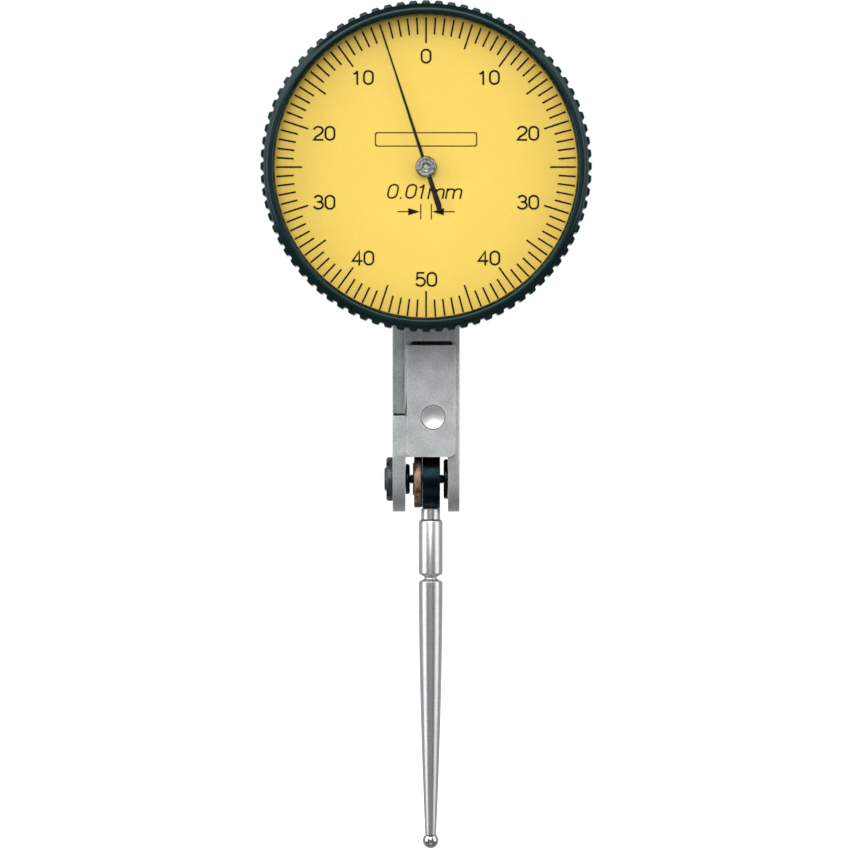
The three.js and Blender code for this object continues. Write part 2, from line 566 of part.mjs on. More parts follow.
function crownArbor() {
  const collar = CROWN_BACK + FIT;
  const left = [[0, -3.9], [0.14, -3.9], [0.14, -3.19], [0.28, -3.19]];
  const middle = [[0.28, collar], [0.8, collar], [0.8, collar + 0.5], [0.28, collar + 0.5]];
  const right = [[0.28, 3.19], [0.14, 3.19], [0.14, 3.9], [0, 3.9]];
  const shaft = turned("x", [...left, ...middle, ...right], 12);
  // one leaf points down the line of centres, into a gap of the lever's teeth
  const down = Math.PI / 2 - Math.atan2(-PIVOT_DROP, -CROWN_Y);
  const leaves = toothPoints(CROWN_PINION_RADIUS, SECTOR_MODULE, PINION_TEETH, down, PINION_TEETH);
  return join(shaft, swept("x", leaves, CROWN_PINION_FACE));
}

piece(crownAxis, "crown_wheel", crownWheel(), BRASS);
piece(crownAxis, "crown_arbor", crownArbor(), BRIGHT_STEEL);

// ---------------------------------------------------------------- lever group, on the stylus axle

const HUB = { radius: 3.5, ends: [-1.46, -0.64] };
const ARM_ENDS = [-1.3, -0.8];
const HOLDER = { radius: 3.7, flat: 3.62, ends: [-0.45, 1.72], recess: 2, recessFloor: 0.85 };
const CLUTCH_RISE = 0.24; // dish of the clutch spring, and the thickness of its sheet
const CLUTCH_SHEET = 0.1;

// The lever is drawn upright, then leans so that its teeth point at the crown wheel's axis.
function sectorLever() {
  const pitch = (2 * Math.PI) / SECTOR_TEETH;
  const first = -((SECTOR_CUT - 1) / 2) * pitch;
  const teeth = toothPoints(SECTOR_RADIUS, SECTOR_MODULE, SECTOR_TEETH, first, SECTOR_CUT);
  const headFoot = SECTOR_RADIUS - 3;
  const headHalf = teeth.at(-1)[0] + 0.15;
  const top = teeth.at(-1)[1];
  const outline = [
    ...teeth, [headHalf, top], [headHalf, top - 1], [ARM_HALF_WIDTH, headFoot], [ARM_HALF_WIDTH, 2.5],
    [-ARM_HALF_WIDTH, 2.5], [-ARM_HALF_WIDTH, headFoot], [-headHalf, top - 1], [-headHalf, top],
  ];
  const arm = swept("x", outline, ARM_ENDS);
  const hub = rod("x", HUB.radius, HUB.ends, [0, 0, 0], 40);
  const blank = cut(join(arm, hub), rod("x", AXLE_RADIUS + FIT, [-5, 5], [0, 0, 0], 24));
  return blank.rotate([THREE.MathUtils.radToDeg(LEVER_LEAN), 0, 0]);
}

function pivotAxle() {
  const pivot = 0.38;
  const [left, right] = [-1.97, 2.13];
  const leftHalf = [[0, -2.45], [pivot, -2.45], [pivot, left], [AXLE_RADIUS, left]];
  const rightHalf = [[AXLE_RADIUS, right], [pivot, right], [pivot, 3], [0, 3]];
  return turned("x", [...leftHalf, ...rightHalf], 24);
}

// A dished washer: a thin cone that keeps the clutch pressed together.
function clutchSpring() {
  const [inner, outer, floor] = [AXLE_RADIUS + FIT, HOLDER.recess - 0.12, HOLDER.recessFloor + FIT];
  const [bent, sheet] = [floor + CLUTCH_RISE, CLUTCH_SHEET];
  return turned("x", [[inner, bent], [outer, floor], [outer, floor + sheet], [inner, bent + sheet]], 24);
}

// A hexagonal nut on the axle, inside the holder's recess.
function clutchNut() {
  const start = HOLDER.recessFloor + CLUTCH_RISE + CLUTCH_SHEET + 2 * FIT;
  const hexagon = rod("x", 1.2, [start, HOLDER.ends[1] - 0.05], [0, 0, 0], 6);
  return cut(hexagon, rod("x", AXLE_RADIUS + FIT, [-5, 5], [0, 0, 0], 24));
}

piece(pivotAxis, "sector_lever", sectorLever(), COPPER);
piece(pivotAxis, "pivot_axle", pivotAxle(), BLACK_STEEL);
const leverWasher = ring("x", AXLE_RADIUS + FIT, 2, [-1.6, HUB.ends[0] - FIT], 28);
piece(pivotAxis, "lever_washer", leverWasher, BLACK_STEEL);
const frictionEnds = [HUB.ends[1] + FIT, HOLDER.ends[0] - FIT];
const frictionWasher = ring("x", AXLE_RADIUS + FIT, HUB.radius - 0.05, frictionEnds, 40);
piece(pivotAxis, "friction_washer", frictionWasher, BLACK_STEEL);
piece(pivotAxis, "clutch_spring", clutchSpring(), STEEL);
piece(pivotAxis, "clutch_nut", clutchNut(), BLACK_STEEL);

// ---------------------------------------------------------------- pivot bearings, fixed in the ears

function pivotScrew() {
  const [outer, inner] = [-5.12, -2.6];
  const radius = SCREW_HOLE - 0.05;
  const head = [[0, outer], [radius - 0.2, outer], [radius, outer + 0.2], [radius, inner]];
  const socket = [[0.95, inner], [0.95, inner - 0.5], [0, inner - 0.5]];
  const blank = turned("x", [...head, ...socket], 32);
  return cut(blank, box([outer - OVER, outer + 0.45], [-0.2, 0.2], [-2, 2]));
}

function lockNut() {
  const [outer, inner] = [-4.88, -BAR_HALF_WIDTH - FIT];
  const [hole, radius] = [SCREW_HOLE, 2.7];
  const edge = [[radius - 0.15, outer], [radius, outer + 0.15], [radius, inner]];
  const blank = turned("x", [[hole, outer], ...edge, [hole, inner]], 32);
  const slot = box([outer - OVER, outer + 0.3], [-0.3, 0.3], [-4, 4]);
  return cut(blank, slot.rotate([45, 0, 0]), slot.rotate([-45, 0, 0]));
}

const PIVOT_HOLE = 0.41;

// A flanged cup: its spigot sits in the end of the pivot screw, and its hole is blind.
function leftBearing() {
  const flange = [[PIVOT_HOLE, -2.48], [PIVOT_HOLE, -2], [1.7, -2], [1.87, -2.15], [1.87, -2.5]];
  const spigot = [[0.9, -2.53], [0.9, -2.95], [0, -2.95]];
  return turned("x", [[0, -2.48], ...flange, ...spigot], 28);
}

// A flanged bush, pressed into the right ear.
function rightBearing() {
  const bush = BUSH_HOLE - FIT;
  const flange = [[PIVOT_HOLE, 2.16], [2.3, 2.16], [2.45, 2.31], [2.45, SLOT.right - FIT]];
  return turned("x", [...flange, [bush, SLOT.right - FIT], [bush, 4.05], [PIVOT_HOLE, 4.05]], 32);
}

piece(pivotAxis, "pivot_screw", pivotScrew(), BLACK_STEEL);
piece(pivotAxis, "pivot_lock_nut", lockNut(), BLACK_STEEL);
piece(pivotAxis, "pivot_bearing_left", leftBearing(), BLACK_STEEL);
piece(pivotAxis, "pivot_bearing_right", rightBearing(), BLACK_STEEL);

// ---------------------------------------------------------------- stylus group: clutched to the lever

const STYLUS_THREAD = 0.8;
const NECK = { collar: 1.18, shank: 1.46, collarEnd: -5, grooveStart: -11.5, grooveEnd: -12.6, waist: 0.75 };

function stylusHolder() {
  const disc = rod("x", HOLDER.radius, HOLDER.ends, [0, 0, 0], 48);
  const axleHole = rod("x", AXLE_RADIUS + 0.04, [-5, 5], [0, 0, 0], 24);
  const recess = rod("x", HOLDER.recess, [HOLDER.recessFloor, 5], [0, 0, 0], 32);
  const stylusHole = rod("z", STYLUS_THREAD + FIT, [-5, -1.2], [STYLUS_X, 0, 0], 20);
  const flat = box([HOLDER.ends[0] - 1, HOLDER.ends[1] + 1], [-5, 5], [-5, -HOLDER.flat]);
  return cut(disc, axleHole, recess, stylusHole, flat);
}

// The stylus, from its threaded end down: a collar, a shank, a waisted groove and a long taper.
function stylusSolid() {
  const { collar, shank, collarEnd, grooveStart, grooveEnd, waist } = NECK;
  const shoulder = -HOLDER.flat - FIT;
  const end = 0.78 - STYLUS_LENGTH;
  const taperPoints = [[shank, grooveEnd], [1.3, -26], [1.05, -34], [0.68, end]];
  const taper = new THREE.SplineCurve(taperPoints.map((p) => new THREE.Vector2(...p)));
  const groove = (grooveStart + grooveEnd) / 2;
  const thread = [[0, -2.3], [STYLUS_THREAD, -2.3], [STYLUS_THREAD, shoulder]];
  const neck = [[collar, shoulder], [collar, collarEnd], [shank, collarEnd - 0.25], [shank, grooveStart]];
  const profile = [
    ...thread, ...neck, [waist, groove + 0.1], [waist, groove - 0.1],
    ...taper.getPoints(7).map((p) => [p.x, p.y]), [0, end],
  ];
  const blank = turned("z", profile, 20);
  const cup = new THREE.SphereGeometry(BALL_RADIUS + FIT, 16, 10);
  return cut(blank, solid(cup.translate(0, 0, -STYLUS_LENGTH)));
}

piece(pivotAxis, "stylus_holder", stylusHolder(), BLACK_STEEL);
const stylusPlace = place(pivotAxis, STYLUS_X, 0, 0);
piece(stylusPlace, "stylus", stylusSolid(), STEEL);
const ball = new THREE.SphereGeometry(BALL_RADIUS, 18, 12).rotateX(Math.PI / 2);
piece(stylusPlace, "contact_ball", solid(ball.translate(0, 0, -STYLUS_LENGTH)), BRIGHT_STEEL);

export default indicator;
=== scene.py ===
"""A lever-type dial test indicator: its looks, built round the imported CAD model.

Sizes are in millimetres and become metres when a mesh is made. The dial faces -Y, and +Z is up.
"""
import json
import math

import bmesh
import bpy
from mathutils import Matrix, Vector


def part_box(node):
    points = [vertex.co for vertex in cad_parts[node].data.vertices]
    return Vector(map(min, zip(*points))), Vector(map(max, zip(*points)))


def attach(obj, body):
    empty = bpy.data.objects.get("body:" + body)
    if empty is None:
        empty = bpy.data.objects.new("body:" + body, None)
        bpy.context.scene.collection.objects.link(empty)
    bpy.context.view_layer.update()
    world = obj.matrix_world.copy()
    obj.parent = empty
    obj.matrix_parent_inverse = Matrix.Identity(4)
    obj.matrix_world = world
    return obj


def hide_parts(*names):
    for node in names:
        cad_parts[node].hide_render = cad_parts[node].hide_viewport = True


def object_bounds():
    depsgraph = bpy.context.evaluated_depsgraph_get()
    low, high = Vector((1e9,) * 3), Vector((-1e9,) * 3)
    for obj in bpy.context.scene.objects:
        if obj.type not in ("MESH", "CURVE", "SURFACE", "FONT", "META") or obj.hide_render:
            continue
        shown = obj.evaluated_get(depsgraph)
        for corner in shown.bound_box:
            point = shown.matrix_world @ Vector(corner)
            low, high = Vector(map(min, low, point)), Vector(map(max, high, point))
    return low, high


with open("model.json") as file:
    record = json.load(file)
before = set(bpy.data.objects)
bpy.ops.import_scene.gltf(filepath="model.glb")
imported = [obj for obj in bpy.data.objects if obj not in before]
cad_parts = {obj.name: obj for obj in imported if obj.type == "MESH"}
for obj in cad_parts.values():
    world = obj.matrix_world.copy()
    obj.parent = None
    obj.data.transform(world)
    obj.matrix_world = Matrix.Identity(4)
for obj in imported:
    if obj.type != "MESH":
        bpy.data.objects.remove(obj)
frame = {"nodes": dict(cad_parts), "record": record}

FRAME_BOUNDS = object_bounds()
NODES = frame["nodes"]
MM = 0.001

# ---------------------------------------------------------------- places, taken from the frame


def box_mm(node):
    """Lowest and highest corner of a CAD node, in millimetres."""
    low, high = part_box(node)
    return low / MM, high / MM


def middle(node):
    low, high = box_mm(node)
    return (low + high) / 2


DIAL_LOW, DIAL_HIGH = box_mm("dial_plate")
DIAL_CENTRE = Vector((0, 0, (DIAL_LOW.z + DIAL_HIGH.z) / 2))
DIAL_FRONT = DIAL_LOW.y
DIAL_RADIUS = DIAL_HIGH.x
PIVOT = Vector((0, 0, middle("pivot_axle").z))
BALL = middle("contact_ball")
BALL_RADIUS = (box_mm("contact_ball")[1].y - box_mm("contact_ball")[0].y) / 2

# ---------------------------------------------------------------- mesh helpers

TURN_TO = {
    "x": Matrix.Rotation(math.radians(90), 4, "Y"),
    "y": Matrix.Rotation(math.radians(-90), 4, "X"),
    "z": Matrix.Identity(4),
}


def softened(points, radius, steps=4, closed=False):
    """The same outline with each corner turned into a small arc."""
    points = [Vector(p) for p in points]
    last = len(points) - 1
    result = []
    for i, corner in enumerate(points):
        if not closed and i in (0, last):
            result.append(corner)
            continue
        before = points[i - 1] - corner
        after = points[(i + 1) % len(points)] - corner
        reach = min(radius, before.length * 0.45, after.length * 0.45)
        start = corner + before.normalized() * reach
        end = corner + after.normalized() * reach
        for step in range(steps + 1):
            t = step / steps
            result.append(start.lerp(corner, t).lerp(corner.lerp(end, t), t))
    return result


def lathe(profile, steps=128, closed=False, lift=None):
    """A turned form about local Z. Profile points are (radius, place along the axis) and, where
    lift is given, a third number: how much of lift(angle) the point takes in addition."""
    bm = bmesh.new()
    rows = []
    for point in profile:
        radius, along = point[0], point[1]
        if radius < 1e-6:
            rows.append([bm.verts.new((0, 0, along))])
            continue
        row = []
        for i in range(steps):
            angle = math.tau * i / steps
            r = radius + (point[2] * lift(angle) if lift else 0)
            row.append(bm.verts.new((r * math.cos(angle), r * math.sin(angle), along)))
        rows.append(row)
    pairs = list(zip(rows, rows[1:]))
    if closed:
        pairs.append((rows[-1], rows[0]))
    for low, high in pairs:
        for i in range(steps):
            j = (i + 1) % steps
            corners = [low[i % len(low)], low[j % len(low)], high[j % len(high)], high[i % len(high)]]
            bm.faces.new(list(dict.fromkeys(corners)))
    bmesh.ops.recalc_face_normals(bm, faces=bm.faces)
    return bm


def add_prism(bm, outline, low, high):
    """Adds a flat print or plate to bm: an outline of (x, z) points, from y = low to y = high."""
    front = [bm.verts.new((x, low, z)) for x, z in outline]
    back = [bm.verts.new((x, high, z)) for x, z in outline]
    bm.faces.new(front)
    bm.faces.new(back[::-1])
    for i in range(len(outline)):
        j = (i + 1) % len(outline)
        bm.faces.new((front[j], front[i], back[i], back[j]))


def add_box(bm, low, high, turn=Matrix.Identity(4)):
    """Adds a box with rounding left to the caller. turn is applied about the origin."""
    size = [b - a for a, b in zip(low, high)]
    centre = [(a + b) / 2 for a, b in zip(low, high)]
    matrix = turn @ Matrix.Translation(centre) @ Matrix.Diagonal((*size, 1))
    bmesh.ops.create_cube(bm, size=1, matrix=matrix)


def mesh_object(name, bm, axis="z", at=(0, 0, 0)):
    """A new object from a bmesh in millimetres, laid along an axis and moved to its place."""
    bm.transform(Matrix.Diagonal((MM, MM, MM, 1)) @ Matrix.Translation(at) @ TURN_TO[axis])
    mesh = bpy.data.meshes.new(name)
    bmesh.ops.recalc_face_normals(bm, faces=bm.faces)
    bm.to_mesh(mesh)
    bm.free()
    obj = bpy.data.objects.new(name, mesh)
    bpy.context.scene.collection.objects.link(obj)
    return obj


def carved(obj, cutters):
    """Cuts the cutter forms, bmeshes in millimetres in the object's place, out of it for good."""
    for i, bm in enumerate(cutters):
        cutter = mesh_object(f"{obj.name}_cutter", bm)
        cut = obj.modifiers.new(f"cut{i}", "BOOLEAN")
        cut.operation = "DIFFERENCE"
        cut.solver = "EXACT"
        cut.object = cutter
    cutters = [m.object for m in obj.modifiers]
    graph = bpy.context.evaluated_depsgraph_get()
    mesh = bpy.data.meshes.new_from_object(obj.evaluated_get(graph))
    obj.modifiers.clear()
    old = obj.data
    obj.data = mesh
    bpy.data.meshes.remove(old)
    for cutter in cutters:
        bpy.data.objects.remove(cutter)


def cutting_box(low, high, turn=Matrix.Identity(4), at=(0, 0, 0)):
    bm = bmesh.new()
    add_box(bm, low, high, turn)
    bm.transform(Matrix.Translation(at))
    return bm


def smooth(obj, angle=35):
    obj.data.shade_smooth()
    obj.data.set_sharp_from_angle(angle=math.radians(angle))


def round_edges(obj, width):
    """Rounds the sharp edges with modifiers, so that they catch a thin highlight."""
    bevel = obj.modifiers.new("round_edges", "BEVEL")
    bevel.width = width * MM
    bevel.segments = 3
    bevel.limit_method = "ANGLE"
    bevel.angle_limit = math.radians(30)
    bevel.use_clamp_overlap = True
    bevel.miter_outer = "MITER_ARC"
    even = obj.modifiers.new("even_shading", "WEIGHTED_NORMAL")
    even.keep_sharp = True
    even.weight = 100


def add_piece(obj, body, slot, *replaced):
    """Puts a finished object on its CAD body, with the slot's material and any CAD nodes it replaces."""
    obj.data.materials.clear()
    obj.data.materials.append(FINISHES[slot])
    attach(obj, body)
    if replaced:
        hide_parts(*replaced)


# ---------------------------------------------------------------- materials


class Finish:
    """A procedural material. Its calls add nodes, and measure grain in millimetres on the object."""

    def __init__(self, name, **fixed):
        self.material = bpy.data.materials.new(name)
        self.material.use_nodes = True
        self.tree = self.material.node_tree
        self.shader = self.tree.nodes["Principled BSDF"]
        self.place = self.tree.nodes.new("ShaderNodeTexCoord").outputs["Object"]
        for socket, value in fixed.items():
            self.shader.inputs[socket.replace("_", " ").title().replace("Ior", "IOR")].default_value = value

    def link(self, value, socket):
        if isinstance(value, bpy.types.NodeSocket):
            self.tree.links.new(value, socket)
        else:
            socket.default_value = value

    def node(self, kind, inputs, **settings):
        node = self.tree.nodes.new("ShaderNode" + kind)
        for key, value in settings.items():
            setattr(node, key, value)
        for key, value in inputs.items():
            self.link(value, node.inputs[key])
        return node

    def scaled_place(self, size, origin=(0, 0, 0)):
        """Object coordinates counted in grains of the given size (x, y, z) in millimetres."""
        scale = [1 / (s * MM) for s in size]
        shift = [-o * MM * s for o, s in zip(origin, scale)]
        inputs = {"Vector": self.place, "Scale": scale, "Location": shift}
        return self.node("Mapping", inputs).outputs["Vector"]

    def noise(self, size, detail=2.0, rough=0.5):
        """Noise from 0 to 1. Its grain is size millimetres, or (x, y, z) for a stretched grain."""
        size = (size, size, size) if isinstance(size, (int, float)) else size
        inputs = {"Vector": self.scaled_place(size), "Scale": 1.0, "Detail": detail, "Roughness": rough}
        return self.node("TexNoise", inputs).outputs["Fac"]

    def span(self, value, source, target):
        """Maps the source range to the target range, held at its ends."""
        inputs = {"Value": value, "From Min": source[0], "From Max": source[1],
                  "To Min": target[0], "To Max": target[1]}
        return self.node("MapRange", inputs, clamp=True).outputs["Result"]

    def blend(self, share, first, second):
        """A mix of two colours: the first where share is 0, the second where it is 1."""
        node = self.tree.nodes.new("ShaderNodeMix")
        node.data_type = "RGBA"
        self.link(share, node.inputs["Factor"])
        for value, name in ((first, "A"), (second, "B")):
            socket = next(s for s in node.inputs if s.name == name and s.type == "RGBA")
            self.link((*value, 1) if isinstance(value, tuple) else value, socket)
        return next(s for s in node.outputs if s.type == "RGBA")

    def maths(self, operation, first, second):
        return self.node("Math", {0: first, 1: second}, operation=operation).outputs[0]

    def edges(self, width):
        """1 on worn edges and 0 on flat faces: where a rounded normal leaves the true one."""
        bevel = self.node("Bevel", {"Radius": width * MM}, samples=4).outputs["Normal"]
        true = self.tree.nodes.new("ShaderNodeNewGeometry").outputs["Normal"]
        agree = self.node("VectorMath", {0: bevel, 1: true}, operation="DOT_PRODUCT").outputs["Value"]
        return self.span(agree, (0.97, 0.72), (0.0, 1.0))

    def color(self, value):
        self.link(value, self.shader.inputs["Base Color"])

    def roughness(self, value):
        self.link(value, self.shader.inputs["Roughness"])

    def bump(self, *layers):
        """Layers are (height from 0 to 1, depth in millimetres)."""
        normal = None
        for height, depth in layers:
            inputs = {"Height": height, "Distance": depth * MM, "Strength": 1.0}
            node = self.node("Bump", inputs)
            if normal:
                self.tree.links.new(normal, node.inputs["Normal"])
            normal = node.outputs["Normal"]
        self.tree.links.new(normal, self.shader.inputs["Normal"])


def metal(name, dark, light, rough, grain=0.12, blotch=2.5, bump=0.002, worn=None, wear=0.12):
    """A metal finish: fine grain and wide blotches between two colours, with lighter worn edges.
    rough is the roughness range. grain may be (x, y, z), for tool marks that run one way."""
    finish = Finish(name, metallic=1.0)
    fine = finish.noise(grain, detail=3.0, rough=0.6)
    wide = finish.noise(blotch, detail=2.0)
    both = finish.maths("ADD", finish.maths("MULTIPLY", fine, 0.65), finish.maths("MULTIPLY", wide, 0.35))
    share = finish.span(both, (0.35, 0.65), (0.0, 1.0))
    color = finish.blend(share, dark, light)
    gloss = finish.span(both, (0.3, 0.7), rough)
    if worn:
        patchy = finish.maths("MULTIPLY", finish.edges(wear), finish.span(wide, (0.3, 0.6), (0.35, 1.0)))
        color = finish.blend(patchy, color, worn)
    finish.color(color)
    finish.roughness(gloss)
    finish.bump((fine, bump), (wide, bump * 2))
    return finish.material


def satin_chrome():
    """Chrome over a fine blasted ground: pale specks, and brighter edges."""
    return metal("satin_chrome", (0.45, 0.475, 0.475), (0.75, 0.77, 0.76), (0.64, 0.52),
                 grain=0.15, blotch=2.2, bump=0.007, worn=(0.95, 0.95, 0.95), wear=0.35)


def polished_chrome():
    return metal("polished_chrome", (0.52, 0.53, 0.54), (0.68, 0.68, 0.68), (0.14, 0.08),
                 grain=(0.6, 0.6, 0.05), blotch=1.2, bump=0.0004)


def dished_chrome():
    """Chrome over a turned hollow: fine rings in it soften what it mirrors."""
    return metal("dished_chrome", (0.84, 0.85, 0.84), (0.95, 0.95, 0.94), (0.42, 0.34),
                 grain=(0.05, 0.6, 0.05), blotch=0.8, bump=0.0008, worn=(0.98, 0.98, 0.98), wear=0.08)


def bright_steel():
    return metal("bright_steel", (0.62, 0.63, 0.65), (0.80, 0.80, 0.80), (0.26, 0.14),
                 grain=(0.5, 0.5, 0.04), blotch=1.0, bump=0.0008, worn=(0.9, 0.9, 0.9), wear=0.06)


def spring_steel():
    return metal("spring_steel", (0.30, 0.33, 0.40), (0.55, 0.58, 0.62), (0.3, 0.18),
                 grain=0.08, blotch=1.2, bump=0.0006)


def stylus_steel():
    """Plated and centreless ground: faint rings round the stylus, one under the other."""
    return metal("stylus_steel", (0.56, 0.565, 0.57), (0.68, 0.68, 0.69), (0.34, 0.31),
                 grain=(2.5, 2.5, 0.08), blotch=(1.5, 1.5, 3.5), bump=0.0002,
                 worn=(0.80, 0.80, 0.80), wear=0.05)


def boss_metal():
    return metal("boss_metal", (0.10, 0.10, 0.095), (0.58, 0.58, 0.55), (0.45, 0.28),
                 grain=0.3, blotch=0.5, bump=0.004, worn=(0.4, 0.4, 0.38), wear=0.06)


def brass():
    return metal("brass", (0.60, 0.42, 0.16), (0.80, 0.60, 0.27), (0.36, 0.2),
                 grain=(0.4, 0.05, 0.4), blotch=1.5, bump=0.001, worn=(0.9, 0.74, 0.42), wear=0.08)


def copper_alloy():
    """Turned copper alloy with tarnish: dark brown stains, pink metal and a few yellow spots."""
    finish = Finish("copper_alloy", metallic=1.0)
    marks = finish.noise((0.04, 0.35, 0.35), detail=3.0, rough=0.7)
    stains = finish.noise(0.75, detail=3.0, rough=0.6)
    spots = finish.noise(0.5, detail=1.0)
    clean = finish.blend(finish.span(marks, (0.35, 0.65), (0.0, 1.0)), (0.30, 0.17, 0.12), (0.60, 0.41, 0.32))
    yellow = finish.blend(finish.span(spots, (0.58, 0.68), (0.0, 0.7)), clean, (0.62, 0.42, 0.16))
    stained = finish.blend(finish.span(stains, (0.47, 0.62), (0.0, 0.85)), yellow, (0.10, 0.042, 0.032))
    finish.color(stained)
    finish.roughness(finish.span(stains, (0.4, 0.65), (0.5, 0.72)))
    finish.bump((marks, 0.002), (stains, 0.004))
    return finish.material


def blackened_steel():
    """Black oxide with a blue-green cast, rubbed thin along the edges."""
    return metal("blackened_steel", (0.004, 0.011, 0.016), (0.014, 0.030, 0.038), (0.34, 0.22),
                 grain=0.1, blotch=1.0, bump=0.0015, worn=(0.04, 0.055, 0.06), wear=0.06)


def dark_oxide():
    """Thin grey-black oxide, as on the small turned screws."""
    return metal("dark_oxide", (0.045, 0.060, 0.062), (0.125, 0.150, 0.152), (0.46, 0.32),
                 grain=0.12, blotch=0.9, bump=0.002, worn=(0.16, 0.18, 0.18), wear=0.07)


def black_anodised():
    """Dense black anodising on aluminium, with a slight green cast and rubbed grip edges."""
    tint = (0.62, 1.0, 0.97, 1)
    finish = Finish("black_anodised", metallic=0.0, specular_tint=tint, specular_ior_level=0.43)
    fine = finish.noise(0.07, detail=3.0, rough=0.6)
    wide = finish.noise(3.0, detail=2.0)
    share = finish.span(wide, (0.35, 0.65), (0.0, 1.0))
    base = finish.blend(share, (0.0015, 0.0060, 0.0062), (0.0030, 0.0100, 0.0100))
    dusty = finish.blend(finish.span(fine, (0.52, 0.70), (0.0, 0.35)), base, (0.007, 0.016, 0.016))
    rub = finish.maths("MULTIPLY", finish.edges(0.10), finish.span(wide, (0.35, 0.6), (0.2, 0.8)))
    finish.color(finish.blend(rub, dusty, (0.014, 0.030, 0.030)))
    finish.roughness(finish.span(fine, (0.35, 0.65), (0.14, 0.22)))
    finish.bump((fine, 0.0015), (wide, 0.003))
    return finish.material


def pointer_black():
    finish = Finish("pointer_black", metallic=0.0, specular_ior_level=0.25)
    fine = finish.noise(0.08, detail=2.0)
    finish.color(finish.blend(fine, (0.0035, 0.0035, 0.0045), (0.011, 0.011, 0.013)))
    finish.roughness(finish.span(fine, (0.35, 0.65), (0.38, 0.55)))
    finish.bump((fine, 0.001))
    return finish.material


def ink(name, dark, light):
    """Pad-printed ink: a little uneven in density, and slightly raised."""
    finish = Finish(name, metallic=0.0, specular_ior_level=0.2)
    density = finish.noise(0.16, detail=3.0, rough=0.7)
    finish.color(finish.blend(finish.span(density, (0.35, 0.68), (0.0, 1.0)), dark, light))
    finish.roughness(finish.span(density, (0.3, 0.7), (0.45, 0.62)))
    finish.bump((density, 0.002))
    return finish.material


def dial_yellow():
    """Printed yellow lacquer with a fine mottle, and painted shade: a darker orange tint towards the rim,
    where the bezel wall shades the dial.
    """
    finish = Finish("dial_yellow", metallic=0.0, specular_ior_level=0.25)
    fine = finish.noise(0.14, detail=3.0, rough=0.65)
    wide = finish.noise(4.0, detail=2.0)
    mottle = finish.span(fine, (0.35, 0.65), (0.0, 1.0))
    base = finish.blend(mottle, (0.93, 0.655, 0.115), (0.97, 0.715, 0.145))
    base = finish.blend(finish.span(wide, (0.35, 0.65), (0.0, 0.45)), base, (0.96, 0.66, 0.12))
    flat = finish.scaled_place((1, 1e6, 1), DIAL_CENTRE)
    radius = finish.node("VectorMath", {0: flat}, operation="LENGTH").outputs["Value"]
    # painted shade: darker orange towards the rim, standing in for the bezel wall's shadow on the dial
    rim = finish.span(radius, (15.6, 18.3), (0.0, 0.3))
    finish.color(finish.blend(rim, base, (0.93, 0.50, 0.085)))
    finish.roughness(finish.span(fine, (0.35, 0.65), (0.48, 0.62)))
    finish.bump((fine, 0.0012))
    return finish.material


def ruby():
    finish = Finish("ruby", metallic=0.0, transmission_weight=0.35, ior=1.76)
    depth = finish.noise(0.5, detail=2.0)
    finish.color(finish.blend(depth, (0.35, 0.004, 0.03), (0.60, 0.02, 0.08)))
    finish.roughness(finish.span(depth, (0.3, 0.7), (0.05, 0.12)))
    finish.bump((depth, 0.0005))
    return finish.material


def black_rubber():
    finish = Finish("black_rubber", metallic=0.0)
    fine = finish.noise(0.1, detail=4.0, rough=0.7)
    finish.color(finish.blend(fine, (0.006, 0.006, 0.006), (0.022, 0.022, 0.021)))
    finish.roughness(finish.span(fine, (0.35, 0.65), (0.65, 0.85)))
    finish.bump((fine, 0.004))
    return finish.material


def crystal_glass():
    """A clear crystal: almost no body, a sharp surface gloss, and faint handling haze."""
    finish = Finish("crystal_glass", metallic=0.0, alpha=0.03, ior=1.49, specular_ior_level=0.2)
    haze = finish.noise(2.2, detail=4.0, rough=0.6)
    finish.color(finish.blend(haze, (0.01, 0.012, 0.012), (0.03, 0.034, 0.034)))
    finish.roughness(finish.span(haze, (0.35, 0.7), (0.02, 0.09)))
    finish.bump((haze, 0.0004))
    return finish.material


FINISHES = {
    "satin_chrome": satin_chrome(),
    "polished_chrome": polished_chrome(),
    "black_anodised": black_anodised(),
    "blackened_steel": blackened_steel(),
    "stylus_steel": stylus_steel(),
    "bright_steel": bright_steel(),
    "spring_steel": spring_steel(),
    "boss_metal": boss_metal(),
    "pointer_black": pointer_black(),
    "copper_alloy": copper_alloy(),
    "brass": brass(),
    "ruby": ruby(),
    "dial_yellow": dial_yellow(),
    "black_rubber": black_rubber(),
    "crystal_glass": crystal_glass(),
    "dial_ink": ink("dial_ink", (0.004, 0.003, 0.002), (0.014, 0.009, 0.004)),
    "fine_line_ink": ink("fine_line_ink", (0.07, 0.03, 0.008), (0.12, 0.055, 0.014)),
    "washer_black": ink("washer_black", (0.003, 0.005, 0.006), (0.010, 0.014, 0.016)),
    # black ink used as painted shade in the rail notch
    "notch_shade_black": ink("notch_shade_black", (0.003, 0.008, 0.010), (0.008, 0.016, 0.019)),
    "dark_oxide": dark_oxide(),
    "dished_chrome": dished_chrome(),
}

# ---------------------------------------------------------------- CAD nodes that stay

for part in frame["record"]["subparts"]:
    cad_mesh = NODES[part["node"]].data
    cad_mesh.materials.clear()
    cad_mesh.materials.append(FINISHES[part["material_slot"]])

# edge rounding of the nodes that show, in millimetres
ROUNDED_NODES = {
    "body_frame": 0.10,
    "front_cover": 0.2,
    "movement_bridge": 0.05,
    "crown_wheel": 0.02,
    "sector_lever": 0.03,
}


def tidy_cad(obj):
    """Joins the split corners of a CAD node and merges its flat faces, without touching its mesh."""
    weld = obj.modifiers.new("weld", "WELD")
    weld.merge_threshold = 0.001 * MM
    flat = obj.modifiers.new("flat_faces", "DECIMATE")
    flat.decimate_type = "DISSOLVE"
    flat.angle_limit = math.radians(0.4)
    obj.data.shade_smooth()
    obj.data.set_sharp_from_angle(angle=math.radians(35))


for node_name, node in NODES.items():
    if node_name in ROUNDED_NODES:
        tidy_cad(node)
        round_edges(node, ROUNDED_NODES[node_name])
    else:
        smooth(node)

